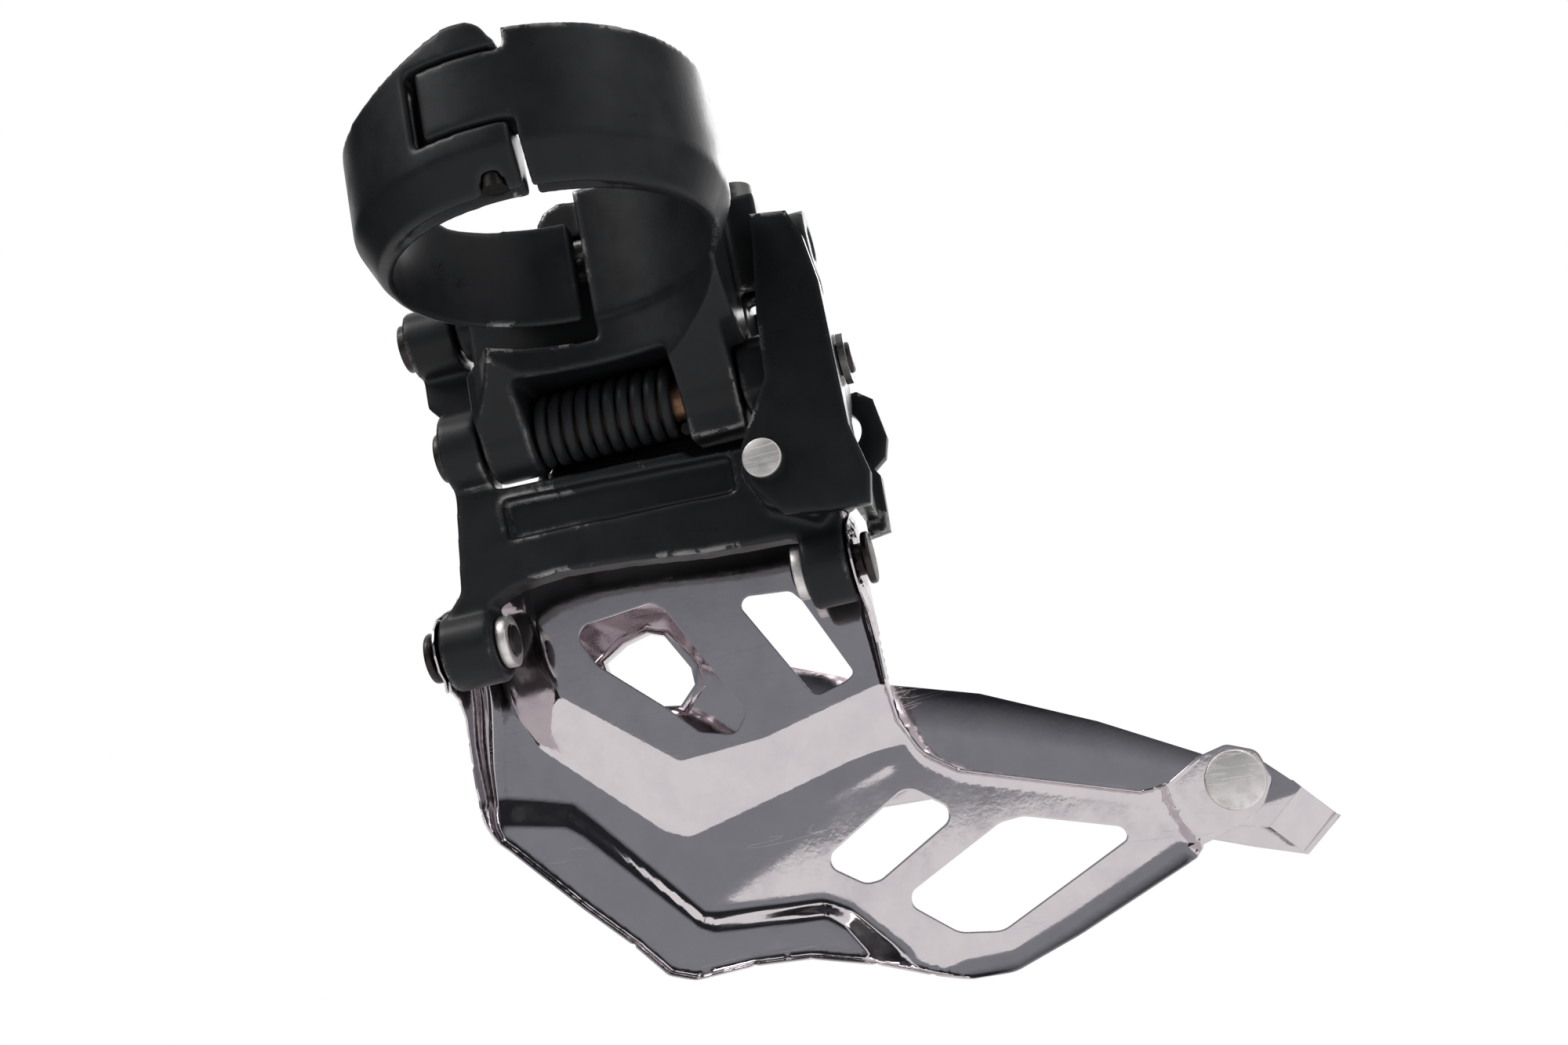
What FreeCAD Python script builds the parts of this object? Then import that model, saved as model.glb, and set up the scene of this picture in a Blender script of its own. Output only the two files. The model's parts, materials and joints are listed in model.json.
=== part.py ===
"""Front derailleur for a mountain bicycle: hinged seat-tube clamp, parallelogram link
and chain cage, as a parametric FreeCAD document.

Frame: the origin is the centre of the clamp bore, +Z runs up the seat tube, +X points
to the rear wheel and +Y away from the frame, towards the chainrings. Millimetres.
"""
import FreeCAD, Part
import math
import os
import re

import Sketcher

DOC = FreeCAD.newDocument("front_derailleur")
SHEET = DOC.addObject("Spreadsheet::Sheet", "sizes")

# name, value, meaning. Lengths in millimetres, angles in degrees.
SIZES = [
    ("tube_radius", 17.45, "seat tube, 34.9 mm across"),
    ("ring_wall", 2.85, "wall of the clamp ring"),
    ("ring_top", 6.9, "upper rim of the clamp ring"),
    ("ring_low", -5.5, "where the outer wall starts to taper"),
    ("bore_low", -9.8, "lower rim of the bore"),
    ("rim_land", 0.8, "flat under the taper"),
    ("hinge_x", 0.3, "clamp hinge axis, rearward of the bore"),
    ("hinge_wall", 2.2, "from the bore to the clamp hinge axis"),
    ("hinge_pin_radius", 1.3, "clamp hinge pin"),
    ("knuckle_radius", 2.6, "barrel round the clamp hinge pin"),
    ("tongue_low", -3.0, "underside of the hinge tongue on the body"),
    ("tongue_top", 4.7, "top of the hinge tongue on the body"),
    ("knuckle_top", 8.5, "top of the band's upper knuckle"),
    ("hinge_gap", 0.3, "play between the hinge knuckles"),
    ("slit", 0.8, "slit between band and body beside the hinge"),
    ("finger_end", -2.4, "end of the band's finger"),
    ("finger_gap", 1.3, "gap round the finger's end"),
    ("bolt_out", 5.45, "clamp bolt axis outboard of the bore"),
    ("bolt_z", 0.8, "clamp bolt axis, height"),
    ("bolt_radius", 2.5, "clamp bolt shank, M5"),
    ("thread_depth", 0.35, "depth of the screw threads, which are left plain"),
    ("ear_radius", 3.8, "band ear and body boss round the clamp bolt"),
    ("ear_front", -15.0, "front face of the band ear"),
    ("ear_rear", -9.2, "rear face of the band ear"),
    ("boss_front", -7.0, "mouth of the threaded boss"),
    ("boss_rear", 9.0, "end of the threaded boss"),
    ("bolt_tip", -1.6, "end of the clamp bolt"),
    ("inner_out", 6.75, "inner pivot axis outboard of the bore"),
    ("inner_z", -20.1, "inner pivot axis, height"),
    ("link_out", 1.9, "lower pivot outboard of the upper one"),
    ("link_drop", 23.8, "lower pivot below the upper one"),
    ("frame_out", 6.0, "outer pivot outboard of the inner one"),
    ("frame_rise", 17.6, "outer pivot above the inner one"),
    ("pin_radius", 1.9, "pivot pins"),
    ("pin_head", 3.1, "radius of the pivot pin heads"),
    ("pin_fit", 0.05, "running clearance of pins and screws"),
    ("side_gap", 0.3, "side play between knuckles"),
    ("leg_front", -18.0, "front face of the front leg"),
    ("leg_rear", 14.0, "rear face of the rear leg"),
    ("window_front", -11.7, "spring window, front side"),
    ("window_rear", 7.0, "spring window, rear side"),
    ("leg_radius", 5.0, "legs round the inner pivot"),
    ("sleeve_radius", 3.8, "sleeve round the outer pivot pin"),
    ("sleeve_front", -21.2, "front end of that sleeve"),
    ("sleeve_rear", 20.1, "rear end of that sleeve"),
    ("screw_out", 6.15, "limit screws outboard of the bore"),
    ("screw_top", 2.2, "seat of the limit screw heads"),
    ("screw_pitch", 6.2, "distance between the limit screws"),
    ("screw_last", 17.2, "rear limit screw, rearward"),
    ("screw_radius", 1.6, "limit screws, M4 less thread"),
    ("knuckle_width", 5.0, "inner link's front knuckle"),
    ("web_inner", -1.2, "inboard face of the inner link's web"),
    ("web_outer", 2.8, "outboard face of the inner link's web"),
    ("sheet", 1.2, "sheet of the cage"),
    ("hood", 0.5, "wall of the boss over the bolt"),
    ("lever_sheet", 1.7, "sheet of the lever plate"),
    ("cage_front", -29.2, "outer face of the cage's front ear"),
    ("cage_rear", 23.8, "outer face of the cage's rear ear"),
    ("cage_width", 10.4, "between the faces of the two cage plates"),
    ("rear_knuckle", 3.8, "inner link's rear knuckle"),
    ("lever_stand", 3.4, "lever plate stands off the web"),
    ("front_boss", 6.6, "inner link's front lower boss"),
    ("rear_boss", 5.4, "inner link's rear lower boss"),
    ("boss_radius", 4.7, "lower bosses of the inner link"),
    ("recess_depth", 1.5, "recess in the inner link"),
    ("rivet_x", 15.5, "lever rivet, rearward"),
    ("rivet_z", -11.5, "lever rivet below the inner pivot"),
    ("rivet_radius", 1.6, "shank of the lever rivet"),
    ("flange_x", 24.3, "inner face of the lever's flange"),
    ("anchor_out", 6.8, "cable leaf outboard of the inner pivot"),
    ("anchor_x", 20.6, "cable bolt, rearward"),
    ("anchor_z", -11.2, "cable bolt below the inner pivot"),
    ("hook_radius", 2.5, "opening of the cable hook"),
    ("outer_arm", 6.5, "outer link's front arm"),
    ("outer_inner", 1.2, "inboard face of the outer link's web"),
    ("outer_outer", 3.8, "outboard face of the outer link's web"),
    ("half_link", 13.0, "half the outer link's lower knuckle"),
    ("lower_pin", 1.5, "pin between outer link and cage"),
    ("open_fit", 0.1, "clearance of that pin"),
        ("collar", 1.3, "pin collars, width"),
    ("sleeve_wall", 0.8, "wall of the spring sleeve"),
    ("wire_radius", 0.75, "spring wire"),
    ("spring_turns", 10, "turns of the spring"),
    ("screw_head", 2.0, "height of the limit screw heads"),
    ("plate_top", 6.9, "top edge of the inner plate over its pivot"),
    ("main_level", 10.4, "flat zone of the inner plate, outboard of its pivot"),
    ("panel_level", 6.4, "raised panel, outboard of the pivot"),
    ("foot_drop", 1.5, "foot outboard of the flat zone"),
    ("foot_slope", 40, "slope of the foot's step from straight"),
    ("tab_level", 10.3, "tail tab, outboard of the pivot"),
    ("tail_x", 59.3, "tail rivet, rearward"),
    ("tail_z", -33.0, "tail rivet below the cage pivot"),
    ("tail_head", 3.5, "head of the tail rivet"),
    ("roof_level", 5.7, "underside of the cage roof over the pivot"),
    ("panel_slope", 50, "slope of the panel's ledge from straight"),
]

V = FreeCAD.Vector
NAMES = [entry[0] for entry in SIZES]
WORDS = re.compile(r"\b(" + "|".join(NAMES) + r")\b")

# Sizes that follow from those of the sheet.
DERIVED = {
    "bolt_y": "(tube_radius + bolt_out)",
    "inner_y": "(tube_radius + inner_out)",
    "screw_y": "(tube_radius + screw_out)",
    "ring_radius": "(tube_radius + ring_wall)",
    "swell": "(hinge_wall + knuckle_radius - ring_wall)",
    "lug_x": "(half_link + side_gap)",
    "reach": "(3.5 * tube_radius)",
}
DERIVED_WORDS = re.compile(r"\b(" + "|".join(DERIVED) + r")\b")


def fill_sheet():
    SHEET.set("A1", "name")
    SHEET.set("B1", "value")
    SHEET.set("C1", "meaning")
    for row, (name, value, meaning) in enumerate(SIZES, start=2):
        SHEET.set("A%d" % row, name)
        SHEET.set("B%d" % row, str(value))
        SHEET.setAlias("B%d" % row, name)
        SHEET.set("C%d" % row, meaning)
    DOC.recompute()


def spelled(text):
    """The expression with the derived sizes written out."""
    return DERIVED_WORDS.sub(lambda match: DERIVED[match.group(1)], str(text))


def full(text):
    """The expression with each size named through the sheet."""
    return WORDS.sub(r"sizes.\1", spelled(text))


def number(text):
    value = SHEET.evalExpression(spelled(text))
    return float(getattr(value, "Value", value))


def is_plain(text):
    return WORDS.search(spelled(text)) is None


def bind(item, prop, text):
    if is_plain(text) and "." not in prop:
        setattr(item, prop, number(text))
    else:
        item.setExpression(prop, full(text))


# ---------------------------------------------------------------- drawing helpers

class Piece:
    """One PartDesign body, drawn as slabs between two levels of a main plane.

    The plane's letters name the sketch axes: "XY" slabs run along Z, "YZ" slabs along
    X and "XZ" slabs along Y. Places are written from the body's own origin.
    """

    def __init__(self, name, at=("0", "0", "0"), refine=True):
        self.name = name
        self.refine = refine
        self.body = DOC.addObject("PartDesign::Body", name)
        self.body.Label = name
        for axis, text in zip("xyz", at):
            bind(self.body, "Placement.Base.%s" % axis, "%s + 0" % text)
        self.count = 0

    def sketch(self, plane, level):
        self.count += 1
        item = self.body.newObject("Sketcher::SketchObject", "%s_sketch%d" % (self.name, self.count))
        base = [f for f in self.body.Origin.OriginFeatures if f.Role == plane + "_Plane"][0]
        item.AttachmentSupport = [(base, "")]
        item.MapMode = "FlatFace"
        bind(item, "AttachmentOffset.Base.z", "%s + 0" % level)
        return item

    def slab(self, plane, low, high, outlines, cut=False, taper="0", flip=False):
        """Add or cut what the outlines hold between the levels low and high."""
        length = "(%s) - (%s)" % (high, low)
        start = high if flip != (plane == "XZ") else low
        if plane == "XZ":
            start = "-1 * (%s)" % start
        item = self.sketch(plane, start)
        for shape in outlines:
            if shape[0] == "circle":
                draw_circle(item, *shape[1:])
            else:
                draw_outline(item, shape)
        return self.extrude(item, length, cut, taper, flip)

    def extrude(self, sketch, length, cut, taper="0", flip=False):
        kind = "Pocket" if cut else "Pad"
        before = self.body.Shape.Volume if self.count > 1 else 0.0
        item = self.body.newObject("PartDesign::" + kind, "%s_%s%d" % (self.name, kind.lower(), self.count))
        item.Profile = sketch
        item.Refine = self.refine
        item.Reversed = cut != flip
        bind(item, "Length", length)
        if taper != "0":
            bind(item, "TaperAngle", taper)
        sketch.Visibility = False
        DOC.recompute()
        after = self.body.Shape.Volume
        if (after >= before) if cut else (after <= before):
            raise RuntimeError("%s changed nothing: %s" % (item.Name, item.getStatusString()))
        return item

    def spin(self, outline, inboard="0"):
        """Turn an outline of the XZ plane round an axis along Z, so far inboard of the origin."""
        item = self.sketch("XZ", inboard)
        draw_outline(item, outline)
        turn = self.body.newObject("PartDesign::Revolution", "%s_revolution%d" % (self.name, self.count))
        turn.Profile = item
        turn.ReferenceAxis = (item, ["V_Axis"])
        turn.Angle = 360
        DOC.recompute()
        return turn


def draw_outline(sketch, points):
    first = sketch.GeometryCount
    count = len(points)
    corners = [V(number(x), number(y), 0) for x, y in points]
    for i in range(count):
        sketch.addGeometry(Part.LineSegment(corners[i], corners[(i + 1) % count]))
    for i in range(count):
        sketch.addConstraint(Sketcher.Constraint("Coincident", first + i, 2, first + (i + 1) % count, 1))
    for i, point in enumerate(points):
        for kind, text, value in zip(("DistanceX", "DistanceY"), point, corners[i]):
            row = sketch.addConstraint(Sketcher.Constraint(kind, -1, 1, first + i, 1, value))
            if not is_plain(text):
                sketch.setExpression("Constraints[%d]" % row, full(text))


def draw_circle(sketch, x, y, radius):
    ring = sketch.addGeometry(Part.Circle(V(number(x), number(y), 0), V(0, 0, 1), number(radius)))
    for kind, text in (("DistanceX", x), ("DistanceY", y)):
        row = sketch.addConstraint(Sketcher.Constraint(kind, -1, 1, ring, 3, number(text)))
        if not is_plain(text):
            sketch.setExpression("Constraints[%d]" % row, full(text))
    row = sketch.addConstraint(Sketcher.Constraint("Radius", ring, number(radius)))
    sketch.setExpression("Constraints[%d]" % row, full("%s + 0" % radius))


def box(x0, y0, x1, y1):
    return [(x0, y0), (x1, y0), (x1, y1), (x0, y1)]


Y_AXIS = V(0, 1, 0)

# Shared places, each worked out from the sheet.
HINGE_Y = "-tube_radius - hinge_wall"
OUTER_Y = "inner_y + frame_out"
OUTER_Z = "inner_z + frame_rise"
CAGE_Y = "inner_y + link_out"
CAGE_Z = "inner_z - link_drop"
INNER_AXIS = ("0", "inner_y", "inner_z")
OUTER_AXIS = ("0", OUTER_Y, OUTER_Z)
CAGE_AXIS = ("0", CAGE_Y, CAGE_Z)
SCREW_PLACES = ["screw_last - screw_pitch", "screw_last"]


# ---------------------------------------------------------------- clamp

def clamp_ring(piece, top):
    """The full ring with its tapered underside, before its halves are parted.

    A second turn, a little inboard, swells the wall round the hinge pin.
    """
    for inboard in ("0", "swell"):
        piece.spin([
            ("tube_radius", "bore_low"),
            ("tube_radius + rim_land", "bore_low"),
            ("ring_radius", "ring_low"),
            ("ring_radius", top),
            ("tube_radius", top),
        ], inboard)


def main_body():
    piece = Piece("main_body")
    clamp_ring(piece, "ring_top")
    far = "finger_end + finger_gap"
    near_slit = "hinge_x + knuckle_radius + hinge_gap + slit"
    levels = [
        ("bore_low - 1", "tongue_low", near_slit),
        ("tongue_low", "tongue_top", "hinge_x - knuckle_radius - 3.4"),
        ("tongue_top", "ring_top + 1", near_slit),
    ]
    for low, high, near in levels:
        piece.slab("XY", low, high, [[
            ("-reach", "-reach"), (near, "-reach"), (near, "0"),
            (far, "0"), (far, "reach"), ("-reach", "reach")]], cut=True)
    # Casting behind the ring, rear of the finger: profile in Y and Z.
    piece.slab("YZ", far, "leg_rear + 2", [[
        ("8", "ring_top - 3"), ("ring_radius", "ring_top - 1.5"),
        ("bolt_y + 1", "bolt_z + ear_radius"), (OUTER_Y, "%s + 3.6" % OUTER_Z),
        ("%s + 3.4" % OUTER_Y, OUTER_Z), ("%s + 0.6" % OUTER_Y, "%s - 8" % OUTER_Z),
        ("inner_y + leg_radius", "inner_z + 4"), ("inner_y - 4", "inner_z + 3"),
        ("14", "-15.2"), ("8.6", "-11.4"), ("8", "-9.4")]])
    # Casting below the finger, down to the legs.
    piece.slab("YZ", "leg_front", "leg_rear", [[
        ("9.5", "-11.9"), ("bolt_y - 1.5", "-12.4"),
        ("bolt_y - 1.5", "bolt_z - ear_radius - 0.6"), (OUTER_Y, "bolt_z - ear_radius - 0.6"),
        ("%s + 0.6" % OUTER_Y, "%s - 8" % OUTER_Z), ("inner_y + leg_radius", "inner_z + 3"),
        ("inner_y + leg_radius - 0.6", "inner_z - 2"), ("inner_y - leg_radius + 0.2", "inner_z - 1"),
        ("17.4", "-18.5"), ("13.6", "-14.8"), ("9.5", "-12.3")]])
    for front, rear in (("leg_front", "window_front"), ("window_rear", "leg_rear")):
        piece.slab("YZ", front, rear, [("circle", "inner_y", "inner_z", "leg_radius")])
    # Sleeve of the outer pivot, threaded boss of the clamp bolt, boss of the limit screws.
    piece.slab("YZ", "sleeve_front", "sleeve_rear", [("circle", OUTER_Y, OUTER_Z, "sleeve_radius")])
    piece.slab("YZ", "boss_front", "boss_rear", [("circle", "bolt_y", "bolt_z", "ear_radius")])
    piece.slab("XY", "-10", "screw_top", [
        box("screw_last - screw_pitch - 4.5", "screw_y - 3", "sleeve_rear", "screw_y + 3.4")])
    # Clearance round the finger's end and round the link's rear knuckle.
    piece.slab("XY", "bolt_z - ear_radius - 1", "bolt_z + ear_radius + 1",
               [box("boss_front - 1", "12", far, "ring_radius + hinge_gap")], cut=True)
    piece.slab("YZ", "leg_rear", "leg_rear + 3",
               [("circle", "inner_y", "inner_z", "leg_radius + 0.2 + side_gap")], cut=True)
    # Hood over the boss, closing the view past the finger, and the longer foot of the rear leg.
    piece.slab("XZ", "ring_radius + hinge_gap", "bolt_y + hood", [[
        ("boss_front", "bolt_z - ear_radius"), ("boss_front", "ring_top - 1.9"),
        ("boss_front + 1.1", "ring_top - 0.4"), ("boss_front + 3", "ring_top + 0.4"), (far, "ring_top"),
        (far, "bolt_z - ear_radius")]])
    piece.slab("YZ", "window_rear", "leg_rear", [[
        ("inner_y - leg_radius + 0.3", "inner_z"), ("inner_y - 3", "inner_z - leg_radius - 1.2"),
        ("inner_y + 2", "inner_z - leg_radius - 1.2"), ("inner_y + leg_radius - 0.3", "inner_z")]])
    # The casting's front corner is cut back beside the front leg.
    piece.slab("XY", "inner_z", "bore_low + 0.4", [[
        ("leg_front - 1", "7"), ("-11.6", "7"), ("-12.8", "11"), ("-15", "15"), ("-17.2", "17.6"),
        ("leg_front - 1", "18.4")]], cut=True)
    # Room for the spring between the legs, then every bore.
    piece.slab("YZ", "window_front", "window_rear", [[
        ("inner_y - 14", "inner_z + 3.6"), ("inner_y - 4", "inner_z + 4.9"),
        ("inner_y + 4", "inner_z + 4.9"), ("inner_y + 14", "inner_z + 4.9"),
        ("inner_y + 14", "inner_z - 12"), ("inner_y - 14", "inner_z - 12")]], cut=True)
    piece.slab("XY", "bore_low", "ring_top + 1", [("circle", "0", "0", "tube_radius")], cut=True)
    piece.slab("XY", "bore_low - 20", "bore_low", [("circle", "0", "0", "tube_radius + hinge_gap")], cut=True)
    piece.slab("XY", "tongue_low - 1", "tongue_top + 1",
               [("circle", "hinge_x", HINGE_Y, "hinge_pin_radius + pin_fit")], cut=True)
    piece.slab("YZ", "leg_front - 1", "leg_rear + 1",
               [("circle", "inner_y", "inner_z", "pin_radius + pin_fit")], cut=True)
    piece.slab("YZ", "sleeve_front - 1", "sleeve_rear + 1",
               [("circle", OUTER_Y, OUTER_Z, "pin_radius + pin_fit")], cut=True)
    piece.slab("YZ", "boss_front - 1", "boss_rear + 1",
               [("circle", "bolt_y", "bolt_z", "bolt_radius + pin_fit")], cut=True)
    piece.slab("XY", "-14", "screw_top + 1",
               [("circle", place, "screw_y", "screw_radius + pin_fit") for place in SCREW_PLACES], cut=True)
    piece.slab("XY", "screw_top", "ring_top + 1",
               [("circle", place, "screw_y", "screw_radius + 1.3") for place in SCREW_PLACES], cut=True)
    return piece


def clamp_band():
    piece = Piece("clamp_band")
    clamp_ring(piece, "knuckle_top")
    # Ear for the clamp bolt, before the bore is cleared.
    piece.slab("YZ", "ear_front", "ear_rear", [
        box("8", "bolt_z - ear_radius", "bolt_y", "bolt_z + ear_radius")])
    piece.slab("YZ", "ear_front", "ear_rear", [("circle", "bolt_y", "bolt_z", "ear_radius")])
    # Remove the body's half. The knuckles above and below the tongue stay.
    levels = [
        ("bore_low - 1", "tongue_low - hinge_gap", "hinge_x + knuckle_radius + hinge_gap"),
        ("tongue_low - hinge_gap", "tongue_top + hinge_gap", "hinge_x - knuckle_radius - 4.6"),
        ("tongue_top + hinge_gap", "knuckle_top + 1", "hinge_x + knuckle_radius + hinge_gap"),
    ]
    for low, high, near in levels:
        piece.slab("XY", low, high, [[
            (near, "-reach"), ("reach", "-reach"), ("reach", "reach"),
            ("finger_end", "reach"), ("finger_end", "0"), (near, "0")]], cut=True)
    # The top edge slopes down from the upper knuckle's dome, and lower still along the finger.
    piece.slab("XZ", "-reach", "2", [[
        ("-reach", "knuckle_top + 1"), ("-reach", "knuckle_top - 4.1"), ("-15.5", "knuckle_top - 4.1"),
        ("-12", "knuckle_top - 3.5"), ("-8.3", "knuckle_top - 2.4"), ("-5", "knuckle_top - 1.3"),
        ("-2.8", "knuckle_top - 0.5"), ("-1", "knuckle_top - 0.05"), ("0.8", "knuckle_top - 0.2"),
        ("2", "knuckle_top - 1"), ("2.9", "knuckle_top - 2.6"), ("reach", "knuckle_top - 2.6"),
        ("reach", "knuckle_top + 1")]], cut=True)
    piece.slab("XZ", "2", "ring_radius + 0.1", [[
        ("-reach", "knuckle_top + 1"), ("-reach", "knuckle_top - 4.1"), ("-17.5", "knuckle_top - 4.1"),
        ("-14.6", "knuckle_top - 6"), ("finger_end + 1", "knuckle_top - 5.4"),
        ("finger_end + 1", "knuckle_top + 1")]], cut=True)
    piece.slab("XY", "bore_low - 1", "knuckle_top + 1", [("circle", "0", "0", "tube_radius")], cut=True)
    piece.slab("XY", "bore_low - 1", "knuckle_top + 1",
               [("circle", "hinge_x", HINGE_Y, "hinge_pin_radius + pin_fit")], cut=True)
    piece.slab("YZ", "ear_front - 1", "ear_rear + 1",
               [("circle", "bolt_y", "bolt_z", "bolt_radius + pin_fit")], cut=True)
    return piece


def turned(name, at, plane, steps):
    """A pin or screw: cylinders (low, high, radius) one after another on one axis."""
    piece = Piece(name, at)
    for low, high, radius in steps:
        piece.slab(plane, low, high, [("circle", "0", "0", radius)])
    return piece


def clamp_hinge_pin():
    return turned("clamp_hinge_pin", ("hinge_x", HINGE_Y, "0"), "XY",
                  [("bore_low + 0.6", "knuckle_top - 0.5", "hinge_pin_radius")])


def clamp_bolt():
    piece = turned("clamp_bolt", ("0", "bolt_y", "bolt_z"), "YZ", [
        ("ear_front - 1.2 - 4.4", "ear_front - 1.2", "ear_radius"),
        ("ear_front - 1.2", "ear_rear + 0.5", "bolt_radius"),
        ("ear_rear + 0.5", "bolt_tip", "bolt_radius - thread_depth"),
    ])
    across = 2.3
    corners = [("%.4f" % (across * math.cos(math.radians(60 * i))),
                "%.4f" % (across * math.sin(math.radians(60 * i)))) for i in range(6)]
    piece.slab("YZ", "ear_front - 6", "ear_front - 2.8", [corners], cut=True)
    return piece


def clamp_bolt_washer():
    piece = Piece("clamp_bolt_washer", ("0", "bolt_y", "bolt_z"))
    piece.slab("YZ", "ear_front - 1.15", "ear_front - 0.05", [
        ("circle", "0", "0", "ear_radius"), ("circle", "0", "0", "bolt_radius + pin_fit")])
    return piece


# ---------------------------------------------------------------- links

FRONT_OUT = "leg_front - side_gap - knuckle_width"
FRONT_IN = "leg_front - side_gap"
REAR_IN = "leg_rear + side_gap"
REAR_OUT = "leg_rear + side_gap + rear_knuckle"
BOSS_FRONT = "cage_front + sheet + side_gap"
BOSS_REAR = "cage_rear - sheet - side_gap"
LEVER_BACK = "web_inner - lever_stand"
ANCHOR_FACE = "anchor_out"


def inner_link():
    piece = Piece("inner_link", INNER_AXIS)
    front_boss_in = BOSS_FRONT + " + front_boss"
    rear_boss_in = BOSS_REAR + " - rear_boss"
    # Arched web between the upper knuckles and the lower bosses.
    piece.slab("XZ", "web_inner", "web_outer", [[
        (FRONT_OUT, "0"), (FRONT_OUT, "-6"), (FRONT_OUT + " - 1.2", "-link_drop + 6.4"),
        (BOSS_FRONT, "-link_drop + 2.8"), (BOSS_FRONT, "-link_drop"), (front_boss_in, "-link_drop"),
        (front_boss_in, "-link_drop + 4.2"), ("-17.6", "-link_drop + 5.7"), ("-12", "-link_drop + 6.2"),
        ("-4", "-link_drop + 5.6"), ("6", "-link_drop + 4.3"), (rear_boss_in, "-link_drop + 3.7"),
        (rear_boss_in, "-link_drop"),
        (BOSS_REAR, "-link_drop"), (BOSS_REAR, "-link_drop + 5.8"), (REAR_OUT, "-7"), (REAR_OUT, "0"),
        (REAR_IN, "0"), (REAR_IN, "-leg_radius - 2.9"), ("window_rear - 0.6", "-leg_radius - 2.7"),
        ("window_rear - 1.6", "-leg_radius - 1.6"),
        (FRONT_IN, "-leg_radius - 0.7"), (FRONT_IN, "0")]])
    # Standing pad that carries the lever plate.
    piece.slab("XZ", LEVER_BACK, "web_outer", [[
        ("13.4", "-8.8"), (REAR_OUT, "-8.4"), (BOSS_REAR, "-link_drop + 6.4"), ("20", "-link_drop + 4.6"),
        ("14.4", "-16.4"), ("12.4", "-12")]])
    for low, high in ((FRONT_OUT, FRONT_IN), (REAR_IN, REAR_OUT)):
        piece.slab("YZ", low, high, [("circle", "0", "0", "leg_radius + 0.2")])
    for low, high in ((BOSS_FRONT, front_boss_in), (rear_boss_in, BOSS_REAR)):
        piece.slab("YZ", low, high, [("circle", "link_out", "-link_drop", "boss_radius")])
    # Seat of the lever plate on the rear knuckle, and the long recess in the inboard face.
    piece.slab("XZ", LEVER_BACK + " - 2", LEVER_BACK, [box(REAR_IN + " - 1", "-4", REAR_OUT + " + 1", "4")],
               cut=True)
    piece.slab("XZ", "web_inner - 1", "web_inner + recess_depth", [[
        ("-17.8", "-leg_radius - 2.2"), ("-17.6", "-12.2"), ("10.8", "-13"), ("10.8", "-leg_radius - 3.4")]], cut=True)
    bore = "pin_radius + pin_fit"
    piece.slab("YZ", FRONT_OUT + " - 1", REAR_OUT + " + 1", [("circle", "0", "0", bore)], cut=True)
    piece.slab("YZ", BOSS_FRONT + " - 1", BOSS_REAR + " + 1",
               [("circle", "link_out", "-link_drop", bore)], cut=True)
    piece.slab("XZ", LEVER_BACK + " - 1", "web_outer + 1",
               [("circle", "rivet_x", "rivet_z", "rivet_radius + pin_fit")], cut=True)
    return piece


def lever_plate():
    """Pressed arm: inboard leaf, flange past the pivot pin and outboard cable leaf."""
    piece = Piece("lever_plate", INNER_AXIS)
    piece.slab("XZ", LEVER_BACK + " - lever_sheet", LEVER_BACK, [[
        ("19.6", "18.2"), ("23.9", "17.5"), ("25.2", "14"), ("flange_x + lever_sheet", "8"),
        ("flange_x + lever_sheet", "-9.8"), ("27.3", "-15.8"), ("26.6", "-19.4"), ("22", "-19.2"),
        ("16.7", "-18.4"), ("13.7", "-14.4"), ("13.3", "-9.5"), ("17.6", "-1.9"), ("18.1", "5.9"),
        ("19.3", "14.6")]])
    back = LEVER_BACK + " - lever_sheet"
    leaf = ANCHOR_FACE + " + lever_sheet"
    piece.slab("YZ", "flange_x", "flange_x + lever_sheet", [[
        (back, "8"), ("0.5", "5.2"), ("3.9", "2.4"), ("4.6", "-1.5"), ("2.5", "-5"), ("-2", "-8.5"),
        ("-2", "-11.2"), (leaf, "-11.6"), (leaf, "-18.4"), (back, "-18.4")]])
    # Outboard leaf with the cable hook, its tab and the seat of the cable bolt.
    piece.slab("XZ", ANCHOR_FACE, leaf, [[
        ("17.4", "-5.4"), ("21", "-2.6"), ("26.4", "-2.2"), ("28.2", "-3.6"), ("28.9", "-8.6"),
        ("28.2", "-11"), ("26.6", "-12.2"), ("27.2", "-13.2"), ("26.9", "-20"), ("flange_x", "-20.3"),
        ("flange_x", "-16"), ("17", "-16"), ("16.6", "-11")]])
    piece.slab("XZ", ANCHOR_FACE + " - 1", leaf + " + 1", [
        ("circle", "23.6", "-6.7", "hook_radius"),
        ("circle", "anchor_x", "anchor_z", "bolt_radius + pin_fit")], cut=True)
    piece.slab("YZ", "flange_x - 1", "flange_x + lever_sheet + 1",
               [("circle", "0", "0", "pin_radius + pin_fit")], cut=True)
    piece.slab("XZ", back + " - 1", LEVER_BACK + " + 1",
               [("circle", "rivet_x", "rivet_z", "rivet_radius + pin_fit")], cut=True)
    return piece


def lever_rivet():
    return turned("lever_rivet", ("rivet_x", "inner_y", "inner_z + rivet_z"), "XZ", [
        (LEVER_BACK + " - lever_sheet - 0.8", LEVER_BACK + " - lever_sheet - 0.02", "rivet_radius + 0.7"),
        (LEVER_BACK + " - lever_sheet - 0.02", "web_outer + 0.02", "rivet_radius"),
        ("web_outer + 0.02", "web_outer + 0.3", "rivet_radius + 0.5")])


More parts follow.
